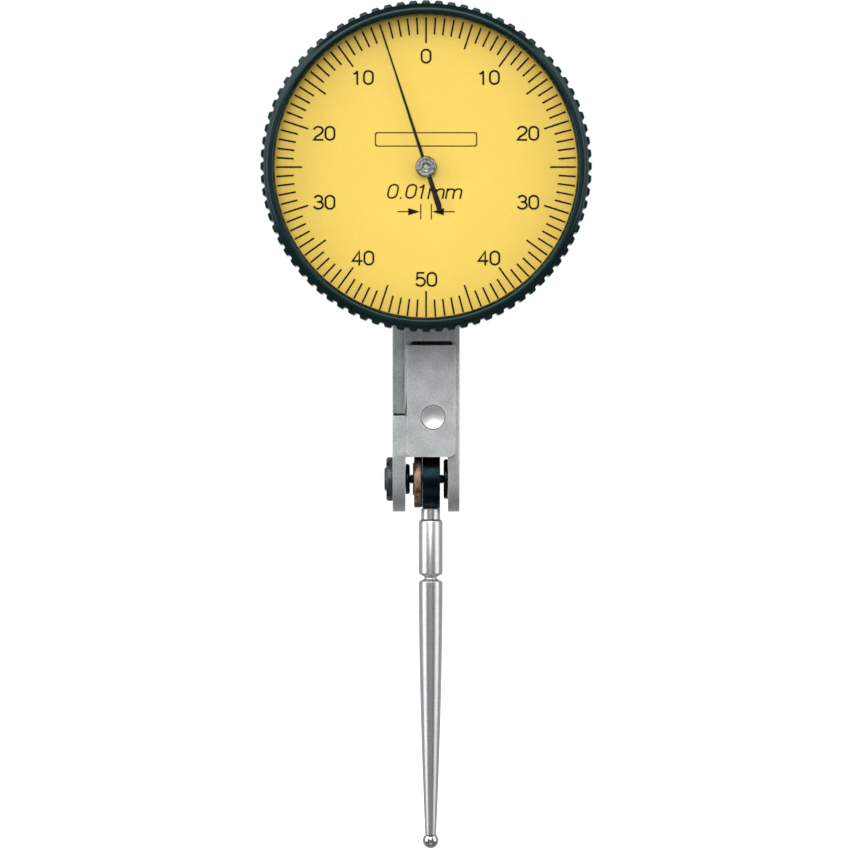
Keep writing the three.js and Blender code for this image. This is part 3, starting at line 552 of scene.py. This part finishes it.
# ---------------------------------------------------------------- bezel, dial and crystal

BEZEL_LOW, BEZEL_HIGH = box_mm("bezel_ring")
LUG_COUNT = 80
LUG_TOP_WIDTH = 0.72
LUG_FLANK = 0.2
LUG_HEIGHT = 0.36
BEZEL_RADIUS = BEZEL_HIGH.x - LUG_HEIGHT
BEZEL_BORE = 18.9
BEZEL_OPENING = 18.25
BEZEL_GROOVE = 19.15
RING_BORE = 18.35
STEPS_PER_LUG = 14


def lug_height(angle):
    """How much of a lug stands at this angle: 1 on its top, 0 between lugs, with rounded shoulders."""
    pitch = math.tau / LUG_COUNT
    from_middle = abs((angle / pitch + 0.5) % 1 - 0.5) * pitch * BEZEL_RADIUS
    t = min(max((LUG_TOP_WIDTH / 2 + LUG_FLANK - from_middle) / LUG_FLANK, 0), 1)
    return t * t * (3 - 2 * t)


def bezel_ring():
    """A turned ring with a gloss band on its front edge, an inner lip and 80 grip lugs."""
    front, back = BEZEL_LOW.y, BEZEL_HIGH.y
    snap, wire = middle("dial_snap_ring").y, middle("bezel_retaining_wire").y
    outside = [
        (BEZEL_OPENING, front + 0.42, 0), (BEZEL_OPENING + 0.34, front, 0), (BEZEL_OPENING + 0.86, front, 0),
        (BEZEL_RADIUS - 0.16, front + 0.38, 0), (BEZEL_RADIUS, front + 0.5, 0),
        (BEZEL_RADIUS, front + 0.56, LUG_HEIGHT), (BEZEL_RADIUS, back - 0.41, LUG_HEIGHT),
        (BEZEL_RADIUS, back - 0.35, 0), (BEZEL_RADIUS - 0.15, back, 0),
    ]
    inside = [(BEZEL_BORE, back, 0)]
    for groove in (wire, snap):
        inside += [(BEZEL_BORE, groove + 0.25, 0), (BEZEL_GROOVE, groove + 0.25, 0),
                   (BEZEL_GROOVE, groove - 0.25, 0), (BEZEL_BORE, groove - 0.25, 0)]
    inside += [(BEZEL_BORE, front + 0.9, 0), (BEZEL_OPENING, front + 0.9, 0)]
    profile = softened(outside + inside, 0.14, steps=3, closed=True)
    bm = lathe(profile, LUG_COUNT * STEPS_PER_LUG, closed=True, lift=lug_height)
    ring = mesh_object("bezel_knurled_ring", bm, "y", DIAL_CENTRE)
    smooth(ring, 40)
    add_piece(ring, "bezel", "black_anodised", "bezel_ring")


def nested_ring(name, node, inner, slot):
    """A plain ring that nests in the bezel, with its edges broken."""
    low, high = box_mm(node)
    section = [(inner, low.y), (high.x, low.y), (high.x, high.y), (inner, high.y)]
    bm = lathe(softened(section, 0.06, 3, closed=True), 256, closed=True)
    ring = mesh_object(name, bm, "y", DIAL_CENTRE)
    smooth(ring)
    add_piece(ring, "bezel", slot, node)


def dial_face():
    """The dial plate: a thin disc with a centre hole and turned edges."""
    hole = 1.0
    section = [(hole, DIAL_LOW.y), (DIAL_RADIUS, DIAL_LOW.y), (DIAL_RADIUS, DIAL_HIGH.y), (hole, DIAL_HIGH.y)]
    bm = lathe(softened(section, 0.06, 3, closed=True), 256, closed=True)
    disc = mesh_object("dial_face", bm, "y", DIAL_CENTRE)
    smooth(disc)
    add_piece(disc, "bezel", "dial_yellow", "dial_plate")


def crystal():
    """A flat crystal with a polished bevel round its front edge."""
    low, high = box_mm("crystal")
    bevel_width, bevel_depth = 0.35, 0.25
    section = [(0, low.y), (DIAL_RADIUS - bevel_width, low.y), (DIAL_RADIUS, low.y + bevel_depth),
               (DIAL_RADIUS, high.y), (0, high.y)]
    lens = mesh_object("crystal_lens", lathe(softened(section, 0.05, 3), 256), "y", DIAL_CENTRE)
    smooth(lens)
    add_piece(lens, "bezel", "crystal_glass", "crystal")


bezel_ring()
dial_face()
nested_ring("dial_spacer", "dial_spacer_ring", RING_BORE, "black_anodised")
nested_ring("crystal_seal", "crystal_gasket", RING_BORE, "black_rubber")
nested_ring("dial_snap", "dial_snap_ring", RING_BORE, "spring_steel")
crystal()

# ---------------------------------------------------------------- print on the dial

INK = (DIAL_FRONT - 0.022, DIAL_FRONT - 0.002)
DIVISIONS = 100
TICK_START = 18.17
TICK_WIDTH = 0.22
TICK_LENGTHS = {"minor": 2.1, "major": 3.15}
NUMERAL_SPREAD = (12.98, 13.52)  # the numbers stand on this oval, in x and z
NUMERAL_DROP = 0.08
NUMERAL_HEIGHT = 1.8
NUMERAL_STROKE = 0.245


def on_dial(x, z):
    """A point on the dial, from its centre, in the frame's x and z."""
    return (DIAL_CENTRE.x + x, DIAL_CENTRE.z + z)


def stroke(bm, start, end, width):
    """Adds a printed straight line between two points given from the dial's centre."""
    start, end = Vector(start), Vector(end)
    side = (end - start).orthogonal().normalized() * width / 2
    corners = [start + side, end + side, end - side, start - side]
    add_prism(bm, [on_dial(*p) for p in corners], *INK)


def printed(name, bm, finish="dial_ink"):
    obj = mesh_object(name, bm)
    add_piece(obj, "bezel", finish)


def scale_ticks(kind, wanted):
    """All the graduation lines of one length."""
    bm = bmesh.new()
    for i in range(DIVISIONS):
        if wanted(i):
            angle = math.tau * i / DIVISIONS
            direction = Vector((math.sin(angle), math.cos(angle)))
            stroke(bm, direction * (TICK_START - TICK_LENGTHS[kind]), direction * TICK_START, TICK_WIDTH)
    printed(f"dial_{kind}_ticks", bm)


def arc(cx, cy, rx, ry, start, end, steps=14):
    """Points on an ellipse, from one angle to another in degrees. 0 is to the right, 90 is up."""
    angles = [math.radians(start + (end - start) * i / steps) for i in range(steps + 1)]
    return [(cx + rx * math.cos(a), cy + ry * math.sin(a)) for a in angles]


# Figures one unit tall, drawn as centre lines: a list of strokes, each a list of points.
FIGURES = {
    "0": [arc(0, 0.17, 0.25, 0.27, 0, 180) + arc(0, -0.17, 0.25, 0.27, 180, 360) + [(0.25, 0.17)]],
    "1": [[(-0.22, 0.25), (-0.12, 0.27), (-0.04, 0.33), (0.0, 0.44)], [(0.0, 0.44), (0.0, -0.5)]],
    "2": [arc(0, 0.2, 0.25, 0.24, 170, -25) + [(0.12, -0.05), (-0.12, -0.23), (-0.25, -0.44), (0.28, -0.44)]],
    "3": [arc(0, 0.22, 0.22, 0.22, 165, -80) + [(-0.03, 0.02), (0.02, 0.02)]
          + arc(0, -0.2, 0.26, 0.24, 80, -165)],
    "4": [[(0.11, -0.5), (0.11, 0.44), (-0.27, -0.2), (0.29, -0.2)]],
    "5": [[(0.23, 0.44), (-0.15, 0.44), (-0.2, 0.02)] + arc(0, -0.16, 0.26, 0.28, 135, -155)],
    ".": [[(0, -0.5), (0, -0.4)]],
    "m": [[(-0.4, 0.2), (-0.4, -0.5)]]
    + [arc(x, 0.0, 0.19, 0.15, 180, 0, 10) + [(x + 0.19, -0.5)] for x in (-0.2, 0.2)],
}
ADVANCE = {"1": 0.72, "m": 1.16, ".": 0.42}
FIGURE_ADVANCE = 0.78
FIGURE_WIDTH = 1.2


def figure_strokes(text, height, centre, slant=0.0):
    """The strokes of a line of figures, set upright or slanted, and centred on a point of the dial."""
    advances = [ADVANCE.get(c, FIGURE_ADVANCE) for c in text]
    x = -sum(advances) / 2
    strokes = []
    for character, advance in zip(text, advances):
        x += advance / 2
        for points in FIGURES[character]:
            leaning = [(x + FIGURE_WIDTH * px + slant * py, py) for px, py in points]
            strokes.append([(u * height + centre[0], v * height + centre[1]) for u, v in leaning])
        x += advance / 2
    return strokes


def add_band(bm, points, width):
    """Adds a printed line of even width along points given from the dial's centre."""
    points = [Vector(p) for p in points]
    sides = []
    for i, point in enumerate(points):
        around = points[max(i - 1, 0):i + 2]
        ways = [(b - a).normalized() for a, b in zip(around, around[1:])]
        across = [Vector((-way.y, way.x)) for way in ways]
        mean = sum(across, Vector((0, 0))).normalized()
        reach = width / 2 / max(mean.dot(across[0]), 0.5)
        sides.append((point + mean * reach, point - mean * reach))
    rows = []
    for y in INK:
        placed = [[on_dial(*point) for point in pair] for pair in sides]
        rows.append([[bm.verts.new((x, y, z)) for x, z in pair] for pair in placed])
    front, back = rows
    for i in range(len(points) - 1):
        bm.faces.new((front[i][0], front[i + 1][0], front[i + 1][1], front[i][1]))
        bm.faces.new((back[i][1], back[i + 1][1], back[i + 1][0], back[i][0]))
        for k in (0, 1):
            bm.faces.new((front[i][k], back[i][k], back[i + 1][k], front[i + 1][k]))
    for i in (0, -1):
        bm.faces.new((front[i][0], front[i][1], back[i][1], back[i][0]))


def lettering(text, height, centre, width, slant=0.0):
    bm = bmesh.new()
    for points in figure_strokes(text, height, centre, slant):
        add_band(bm, points, width)
    return bm


def numerals():
    """0, 10 ... 50 ... 10 upright round the dial. Each is one piece."""
    for i in range(10):
        value = min(i, 10 - i) * 10
        angle = math.tau * i / 10
        centre = (NUMERAL_SPREAD[0] * math.sin(angle), NUMERAL_SPREAD[1] * math.cos(angle) - NUMERAL_DROP)
        side = "right" if i < 5 else "left"
        name = f"dial_number_{value}" + ("" if value in (0, 50) else f"_{side}")
        printed(name, lettering(str(value), NUMERAL_HEIGHT, centre, NUMERAL_STROKE))


def unit_label():
    """The reading of one division, and under it the gap between two lines that it means."""
    printed("dial_unit_label", lettering("0.01mm", 1.84, (-0.1, -2.93), 0.21, slant=0.22))
    bm = bmesh.new()
    middle_z, half_gap, half_height = -5.4, 0.64, 0.95
    head, head_half, shaft = 1.45, 0.45, 2.75
    for side in (-1, 1):
        stroke(bm, (side * half_gap, middle_z - half_height), (side * half_gap, middle_z + half_height), 0.13)
        tip = side * (half_gap + 0.08)
        stroke(bm, (tip + side * head * 0.8, middle_z), (tip + side * shaft, middle_z), 0.14)
        base = tip + side * head
        arrow = [(tip, middle_z), (base, middle_z + head_half), (base, middle_z - head_half)]
        add_prism(bm, [on_dial(*p) for p in arrow], *INK)
    printed("dial_division_arrows", bm)


def outlined_box():
    """A thin rounded frame over the centre. It is left empty."""
    half_width, half_height, centre_z, radius, line = 6.2, 0.885, 3.36, 0.32, 0.15
    bm = bmesh.new()
    corners = [(sx * half_width, sz * half_height) for sx, sz in ((-1, -1), (1, -1), (1, 1), (-1, 1))]
    outer = softened(corners, radius, 6, closed=True)
    rings = []
    for y in INK:
        for scale in (0, line):
            ring = [Vector((p.x - math.copysign(scale, p.x), p.y - math.copysign(scale, p.y))) for p in outer]
            points = [on_dial(p.x, p.y + centre_z) for p in ring]
            rings.append([bm.verts.new((x, y, z)) for x, z in points])
    front_outer, front_inner, back_outer, back_inner = rings
    count = len(outer)
    around = [front_outer, front_inner, back_inner, back_outer]
    for a, b in zip(around, around[1:] + around[:1]):
        for i in range(count):
            j = (i + 1) % count
            bm.faces.new((a[i], a[j], b[j], b[i]))
    printed("dial_outlined_box", bm, "fine_line_ink")


scale_ticks("minor", lambda i: i % 5)
scale_ticks("major", lambda i: i % 5 == 0)
numerals()
unit_label()
outlined_box()

# ---------------------------------------------------------------- pointer

POINTER_REST = math.radians(18)
HAND_LOW, HAND_HIGH = box_mm("pointer_hand")
BOSS_LOW, BOSS_HIGH = box_mm("pointer_boss")
BOSS_RADIUS = BOSS_HIGH.x


def pointer_blade():
    """A thin tapered blade with a broader tail, cut at a slant, and chamfered all round."""
    reach, tail, root = 17.82, 5.6, 0.9
    outline = [(-0.07, reach), (0.07, reach), (0.2, root), (0.25, -root), (0.36, -tail + 0.62), (0.12, -tail),
               (-0.36, -tail + 0.16), (-0.25, -root), (-0.2, root)]
    bm = bmesh.new()
    add_prism(bm, outline, HAND_LOW.y, HAND_HIGH.y)
    bmesh.ops.bevel(bm, geom=bm.edges[:], offset=0.03, segments=2, affect="EDGES", clamp_overlap=True)
    turn = Matrix.Translation(DIAL_CENTRE) @ Matrix.Rotation(-POINTER_REST, 4, "Y")
    bm.transform(turn)
    blade = mesh_object("pointer_blade", bm)
    smooth(blade, 30)
    add_piece(blade, "pointer", "pointer_black", "pointer_hand")


def pointer_hub():
    """The turned boss: a flat cap with a broken edge, a faint ring and a centre hole for the arbor."""
    front, back = BOSS_LOW.y, BOSS_HIGH.y
    bore, neck, foot = 0.32, 0.44, 0.8
    section = [
        (bore, front + 0.12), (bore + 0.1, front), (0.74, front), (0.80, front + 0.04), (0.86, front),
        (BOSS_RADIUS - 0.16, front), (BOSS_RADIUS, front + 0.16), (BOSS_RADIUS, front + 0.5),
        (neck, front + 0.5), (neck, back - 0.4), (foot, back - 0.4), (foot, back), (bore, back),
    ]
    turned = lathe(softened(section, 0.05, 3, closed=True), 96, closed=True)
    hub = mesh_object("pointer_hub", turned, "y", DIAL_CENTRE)
    smooth(hub)
    add_piece(hub, "pointer", "boss_metal", "pointer_boss")


pointer_blade()
pointer_hub()

# ---------------------------------------------------------------- dial case


def dial_case():
    """The cup behind the dial, with its two grooves and the slot that the crown wheel stands in."""
    low, high = box_mm("dial_case")
    radius, wall, floor = high.x, 1.1, 0.8
    drag, wire = middle("bezel_friction_ring").y, middle("bezel_retaining_wire").y
    section = [(0, high.y), (15.4, high.y), (16.2, high.y - 0.05), (radius, high.y - 1.9)]
    for groove, depth, half in ((drag, 0.58, 0.4), (wire, 0.33, 0.25)):
        section += [(radius, groove + half), (radius - depth, groove + half),
                    (radius - depth, groove - half), (radius, groove - half)]
    inner_floor = high.y - floor
    section += [(radius, low.y), (radius - wall, low.y), (radius - wall, inner_floor - 1.2),
                (16, inner_floor), (0, inner_floor)]
    cup = mesh_object("dial_case_cup", lathe(softened(section, 0.07, 3), 192), "y", DIAL_CENTRE)
    crown_low, crown_high = box_mm("crown_wheel")
    start, end = -8, -5  # in y, the two ends of every cut through the floor
    arbor_hole, screw_hole, half_slot = 0.41, 0.88, 4.6
    slot_low = (crown_low.x - 0.12, start, -half_slot)
    slot = cutting_box(slot_low, (crown_high.x + 0.57, end, half_slot), at=DIAL_CENTRE)
    bore = lathe([(0, start), (arbor_hole, start), (arbor_hole, end), (0, end)], 24)
    bore.transform(Matrix.Translation(DIAL_CENTRE) @ TURN_TO["y"])
    holes = []
    for screw in ("case_screw_upper", "case_screw_lower"):
        hole = lathe([(0, start), (screw_hole, start), (screw_hole, end), (0, end)], 24)
        at = middle(screw)
        hole.transform(Matrix.Translation((at.x, 0, at.z)) @ TURN_TO["y"])
        holes.append(hole)
    carved(cup, [slot, bore, *holes])
    smooth(cup, 25)
    add_piece(cup, "body", "satin_chrome", "dial_case")


dial_case()

# ---------------------------------------------------------------- screws and bearings of the frame


def cover_screw():
    """The polished screw of the front cover: a shallow hollow head inside a narrow flat rim."""
    low, high = box_mm("cover_screw")
    radius = (high.x - low.x) / 2
    centre = ((low.x + high.x) / 2, 0, (low.z + high.z) / 2)
    hollow, rim, deep = 12, 0.12, 0.22
    head, shank = 0.6, 0.75
    section = []
    for i in range(hollow + 1):
        section.append(((radius - rim) * i / hollow, low.y + deep * (1 - (i / hollow) ** 2)))
    section += [(radius - rim / 2, low.y), (radius, low.y + 0.08), (radius, low.y + head),
                (shank, low.y + head), (shank, high.y), (0, high.y)]
    screw = mesh_object("cover_screw_polished", lathe(section, 96), "y", centre)
    smooth(screw, 30)
    add_piece(screw, "body", "dished_chrome", "cover_screw")


def turned_on_axle(
    name, node, section, steps, slots=(), body="body", slot="blackened_steel", soft=0.06, closed=True
):
    """A turned piece on the stylus axle's line, with straight slots across its outer face."""
    turned = lathe(softened(section, soft, 3, closed=closed), steps, closed=closed)
    obj = mesh_object(name, turned, "x", PIVOT)
    if slots:
        carved(obj, slots)
    smooth(obj, 32)
    replaced = [node] if node else []
    add_piece(obj, body, slot, *replaced)


def pivot_hardware():
    """Screw and lock nut in the left ear, and the two bearings inside the fork."""
    low, high = box_mm("pivot_screw")
    radius, thread = (high.z - low.z) / 2, 0.95
    half_slot, slot_depth = 0.2, 0.45
    across = [cutting_box((low.x - 1, -half_slot, -2), (low.x + slot_depth, half_slot, 2), at=PIVOT)]
    section = [(0, low.x), (radius - 0.2, low.x), (radius, low.x + 0.2), (radius, high.x - 0.5),
               (thread, high.x - 0.5), (thread, high.x), (0, high.x)]
    turned_on_axle("pivot_screw_slotted", "pivot_screw", section, 96, across, slot="dark_oxide", closed=False)

    low, high = box_mm("pivot_lock_nut")
    outer, hole = (high.z - low.z) / 2, radius + 0.05
    half_grip, grip_depth = 0.3, 0.3
    grips = []
    for angle in (45, -45):
        turn = Matrix.Rotation(math.radians(angle), 4, "X")
        inner = (low.x + grip_depth, half_grip, 4)
        grips.append(cutting_box((low.x - 1, -half_grip, -4), inner, turn, PIVOT))
    section = [(hole + 0.1, low.x), (outer - 0.18, low.x), (outer, low.x + 0.18), (outer, high.x),
               (hole, high.x), (hole, low.x + 0.1)]
    turned_on_axle("pivot_lock_nut_slotted", "pivot_lock_nut", section, 96, grips, slot="dark_oxide")

    low, high = box_mm("pivot_bearing_left")
    flange = (high.z - low.z) / 2
    stem, axle_hole = 0.9, 0.41
    section = [(0, high.x - 0.48), (axle_hole, high.x - 0.48), (axle_hole, high.x), (flange - 0.2, high.x),
               (flange, high.x - 0.18), (flange, high.x - 0.5), (stem, high.x - 0.53), (stem, low.x),
               (0, low.x)]
    turned_on_axle("pivot_bearing_cup", "pivot_bearing_left", section, 96, closed=False, soft=0.04)

    low, high = box_mm("pivot_bearing_right")
    flange = (high.z - low.z) / 2
    bush, seat = 1.22, 2.67
    section = [(axle_hole, low.x), (flange - 0.18, low.x), (flange, low.x + 0.16), (flange, seat),
               (bush, seat), (bush, high.x), (axle_hole, high.x)]
    turned_on_axle("pivot_bearing_bush", "pivot_bearing_right", section, 96, soft=0.04)


def rail_relief():
    """A black block in the narrow notch below the frame's side rail, set back from its edges: painted shade
    standing in for the shadow in the gap.
    """
    left, root = -4.1, -2.6
    front, back = -4.4, -1.05
    bottom, top = -47.1, -46.8
    clear, set_back = 0.01, 0.1
    bm = bmesh.new()
    # painted shade: a black fill where the notch is only in shadow, not a real filling
    add_box(bm, (left + set_back, front, bottom + clear), (root - clear, back, top - clear))
    bmesh.ops.bevel(bm, geom=bm.edges[:], offset=0.02, segments=2, affect="EDGES", clamp_overlap=True)
    add_piece(mesh_object("rail_notch_painted_shade", bm), "body", "notch_shade_black")


cover_screw()
pivot_hardware()
rail_relief()

# ---------------------------------------------------------------- lever, holder and stylus

HUB_BORE = 0.56  # the axle's hole through lever, washers and holder
SNUG = 0.018  # the washers are pinched, so they fill their fits


def lever_hub():
    """The copper rim of the sector lever's hub: turned, with a fine line near each edge."""
    low, high, radius = -1.47, -0.63, 3.51
    edge, line = 0.07, 0.03
    section = [(HUB_BORE, low), (radius - edge, low), (radius, low + edge), (radius, low + 0.16),
               (radius - line, low + 0.2), (radius, low + 0.24), (radius, high - 0.24),
               (radius - line, high - 0.2), (radius, high - 0.16), (radius, high - edge),
               (radius - edge, high), (HUB_BORE, high)]
    turned_on_axle("lever_hub_rim", None, section, 160, body="lever", slot="copper_alloy", soft=0.03)


def washers():
    for name, node, slot in (
        ("lever_washer_turned", "lever_washer", "blackened_steel"),
        ("friction_washer_turned", "friction_washer", "washer_black"),
    ):
        low, high = box_mm(node)
        radius = (high.y - low.y) / 2
        left, right = low.x - SNUG, high.x + SNUG
        section = [(HUB_BORE, left), (radius, left), (radius, right), (HUB_BORE, right)]
        turned_on_axle(name, node, section, 128, body="lever", slot=slot, soft=0.02)


def axle():
    low, high = box_mm("pivot_axle")
    thick, thin = 0.53, 0.38
    section = [(0, low.x), (thin, low.x), (thin, low.x + 0.48), (thick, low.x + 0.48), (thick, high.x - 0.87),
               (thin, high.x - 0.87), (thin, high.x), (0, high.x)]
    turned_on_axle("pivot_axle_turned", "pivot_axle", section, 64, body="lever", closed=False, soft=0.04)


def stylus_holder():
    """The black clutch drum that the stylus screws into: a flat for the stylus, a recess for the nut."""
    low, high = box_mm("stylus_holder")
    radius, recess, recess_floor = (high.y - low.y) / 2, 2.0, 0.85
    section = [(HUB_BORE, low.x), (radius - 0.05, low.x), (radius, low.x + 0.05), (radius, high.x - 0.1),
               (radius - 0.1, high.x), (recess, high.x), (recess, recess_floor),
               (HUB_BORE, recess_floor)]
    turned = lathe(softened(section, 0.05, 3, closed=True), 192, closed=True)
    drum = mesh_object("stylus_holder_drum", turned, "x", PIVOT)
    flat = PIVOT.z - low.z
    under = cutting_box((low.x - 1, -5, -6), (high.x + 1, 5, -flat), at=PIVOT)
    hole, bottom, top = 0.83, -5, -2.25
    thread = lathe([(0, bottom), (hole, bottom), (hole, top), (0, top)], 32)
    thread.transform(Matrix.Translation((BALL.x, 0, PIVOT.z)))
    carved(drum, [under, thread])
    smooth(drum, 25)
    add_piece(drum, "stylus", "blackened_steel", "stylus_holder")


def stylus():
    """Threaded end, collar, shank, a waisted groove, and a long taper that swells gently."""
    flat = PIVOT.z - box_mm("stylus_holder")[0].z + 0.03
    collar, shank, waist, end = 1.18, 1.46, 0.75, 0.68
    groove_start, groove_end, tip = 11.7, 12.6, 43.72
    groove = (groove_start + groove_end) / 2
    thread, thread_top = 0.8, 2.3
    section = [(0, thread_top), (thread, thread_top), (thread, flat), (collar - 0.06, flat),
               (collar, flat + 0.06), (collar, 4.95), (collar + 0.05, 5.0), (shank - 0.06, 5.14),
               (shank, 5.3), (shank, groove_start - 0.12), (shank - 0.06, groove_start)]
    section += [(waist + 0.04, groove - 0.12), (waist, groove), (waist + 0.04, groove + 0.12)]
    section += [(shank - 0.06, groove_end), (shank, groove_end + 0.12)]
    taper_steps = 40
    for i in range(1, taper_steps + 1):
        t = i / taper_steps
        section.append((shank - (shank - end) * t ** 1.75, groove_end + 0.12 + (tip - groove_end - 0.12) * t))
    section += [(end - 0.05, tip + 0.05), (0, tip + 0.05)]
    profile = [(radius, -depth) for radius, depth in section]
    shaft = mesh_object("stylus_shaft", lathe(profile, 96), "z", (BALL.x, 0, PIVOT.z))
    smooth(shaft, 24)
    add_piece(shaft, "stylus", "stylus_steel", "stylus")


def contact_ball():
    """The ball, with the small brazed fillet that joins it to the stylus."""
    joint = math.radians(40)
    arc_steps = 40
    section = [(0, BALL_RADIUS * 0.80), (0.6, BALL_RADIUS * 0.80)]
    for i in range(arc_steps + 1):
        angle = joint + (math.pi - joint) * i / arc_steps
        section.append((BALL_RADIUS * math.sin(angle) if i < arc_steps else 0, BALL_RADIUS * math.cos(angle)))
    ball = mesh_object("stylus_ball", lathe(section, 96), "z", BALL)
    smooth(ball, 40)
    add_piece(ball, "stylus", "polished_chrome", "contact_ball")


lever_hub()
washers()
axle()
stylus_holder()
stylus()
contact_ball()

# ---------------------------------------------------------------- floor, light and camera

FLOOR_Z = FRAME_BOUNDS[0].z / MM - 1.1
CAMERA_AT = Vector((-0.13, -727, -48.24))
LENS = 250
AIM = Vector((0, 0, CAMERA_AT.z))


def floor():
    """A wide flat sheet of glowing white paper, hidden from reflections and bounces."""
    bm = bmesh.new()
    half = 4000
    bmesh.ops.create_grid(bm, x_segments=24, y_segments=24, size=half)
    sheet = mesh_object("studio_floor", bm, "z", (0, 0, FLOOR_Z))
    paper = Finish("studio_paper", metallic=0.0, specular_ior_level=0.1)
    fibre = paper.noise(1.5, detail=3.0)
    paper.color(paper.blend(fibre, (0.86, 0.86, 0.86), (0.90, 0.90, 0.90)))
    paper.roughness(paper.span(fibre, (0.3, 0.7), (0.75, 0.9)))
    paper.shader.inputs["Emission Color"].default_value = (1, 1, 1, 1)
    paper.shader.inputs["Emission Strength"].default_value = 0.85
    sheet.data.materials.append(paper.material)
    sheet.visible_glossy = False
    sheet.visible_diffuse = False


def softbox(name, azimuth, elevation, distance, size, radiance, mirrored=True):
    """An area light aimed at the object. Azimuth 0 is in front, 90 to its right.
    mirrored says whether glossy faces show it."""
    a, e = math.radians(azimuth), math.radians(elevation)
    towards = Vector((math.sin(a) * math.cos(e), -math.cos(a) * math.cos(e), math.sin(e)))
    lamp = bpy.data.lights.new(name, "AREA")
    lamp.shape = "RECTANGLE"
    lamp.size, lamp.size_y = (s * MM for s in size)
    lamp.energy = radiance * math.pi * lamp.size * lamp.size_y
    obj = bpy.data.objects.new(name, lamp)
    obj.location = (AIM + towards * distance) * MM
    obj.rotation_euler = towards.to_track_quat("Z", "Y").to_euler()
    obj.visible_camera = False
    obj.visible_glossy = mirrored
    bpy.context.scene.collection.objects.link(obj)


def studio_world(fill, glow, backdrop):
    """Grey fill from the front and a paler glow from behind. The camera sees a white backdrop."""
    world = bpy.data.worlds.new("studio")
    world.use_nodes = True
    tree = world.node_tree
    tree.nodes.clear()
    output = tree.nodes.new("ShaderNodeOutputWorld")
    seen = tree.nodes.new("ShaderNodeBackground")
    seen.inputs["Color"].default_value = (*backdrop, 1)
    light = tree.nodes.new("ShaderNodeBackground")
    way = tree.nodes.new("ShaderNodeSeparateXYZ")
    tree.links.new(tree.nodes.new("ShaderNodeTexCoord").outputs["Generated"], way.inputs[0])
    behind = tree.nodes.new("ShaderNodeMapRange")
    tree.links.new(way.outputs["Y"], behind.inputs["Value"])
    behind.inputs["From Min"].default_value, behind.inputs["From Max"].default_value = 0.0, 0.5
    tint = tree.nodes.new("ShaderNodeMixRGB")
    tree.links.new(behind.outputs["Result"], tint.inputs["Fac"])
    tint.inputs["Color1"].default_value = (*fill, 1)
    tint.inputs["Color2"].default_value = (*glow, 1)
    tree.links.new(tint.outputs["Color"], light.inputs["Color"])
    path = tree.nodes.new("ShaderNodeLightPath")
    mix = tree.nodes.new("ShaderNodeMixShader")
    tree.links.new(path.outputs["Is Camera Ray"], mix.inputs[0])
    tree.links.new(light.outputs[0], mix.inputs[1])
    tree.links.new(seen.outputs[0], mix.inputs[2])
    tree.links.new(mix.outputs[0], output.inputs["Surface"])
    bpy.context.scene.world = world


def camera():
    data = bpy.data.cameras.new("camera")
    data.lens = LENS
    data.sensor_width = 36
    data.clip_end = 20
    obj = bpy.data.objects.new("camera", data)
    obj.location = CAMERA_AT * MM
    obj.rotation_euler = (math.radians(90), 0, 0)
    bpy.context.scene.collection.objects.link(obj)
    bpy.context.scene.camera = obj


floor()
softbox("left_softbox", -66, 18, 480, (380, 640), 2.0)
softbox("right_softbox", 66, 18, 480, (380, 640), 1.6)
softbox("top_softbox", -6, 34, 640, (560, 330), 2.55)
softbox("key_light", -3, 14, 900, (300, 150), 4.2)
softbox("front_fill", 0, -6, 900, (560, 420), 0.1)
softbox("low_fill", 0, -50, 640, (500, 300), 0.45)
softbox("diffuse_fill", -4, 6, 900, (300, 300), 9.5, mirrored=False)
studio_world((0.17, 0.18, 0.188), (0.52, 0.52, 0.52), (1.0, 1.0, 1.0))
camera()
bpy.context.scene.view_settings.view_transform = "Standard"
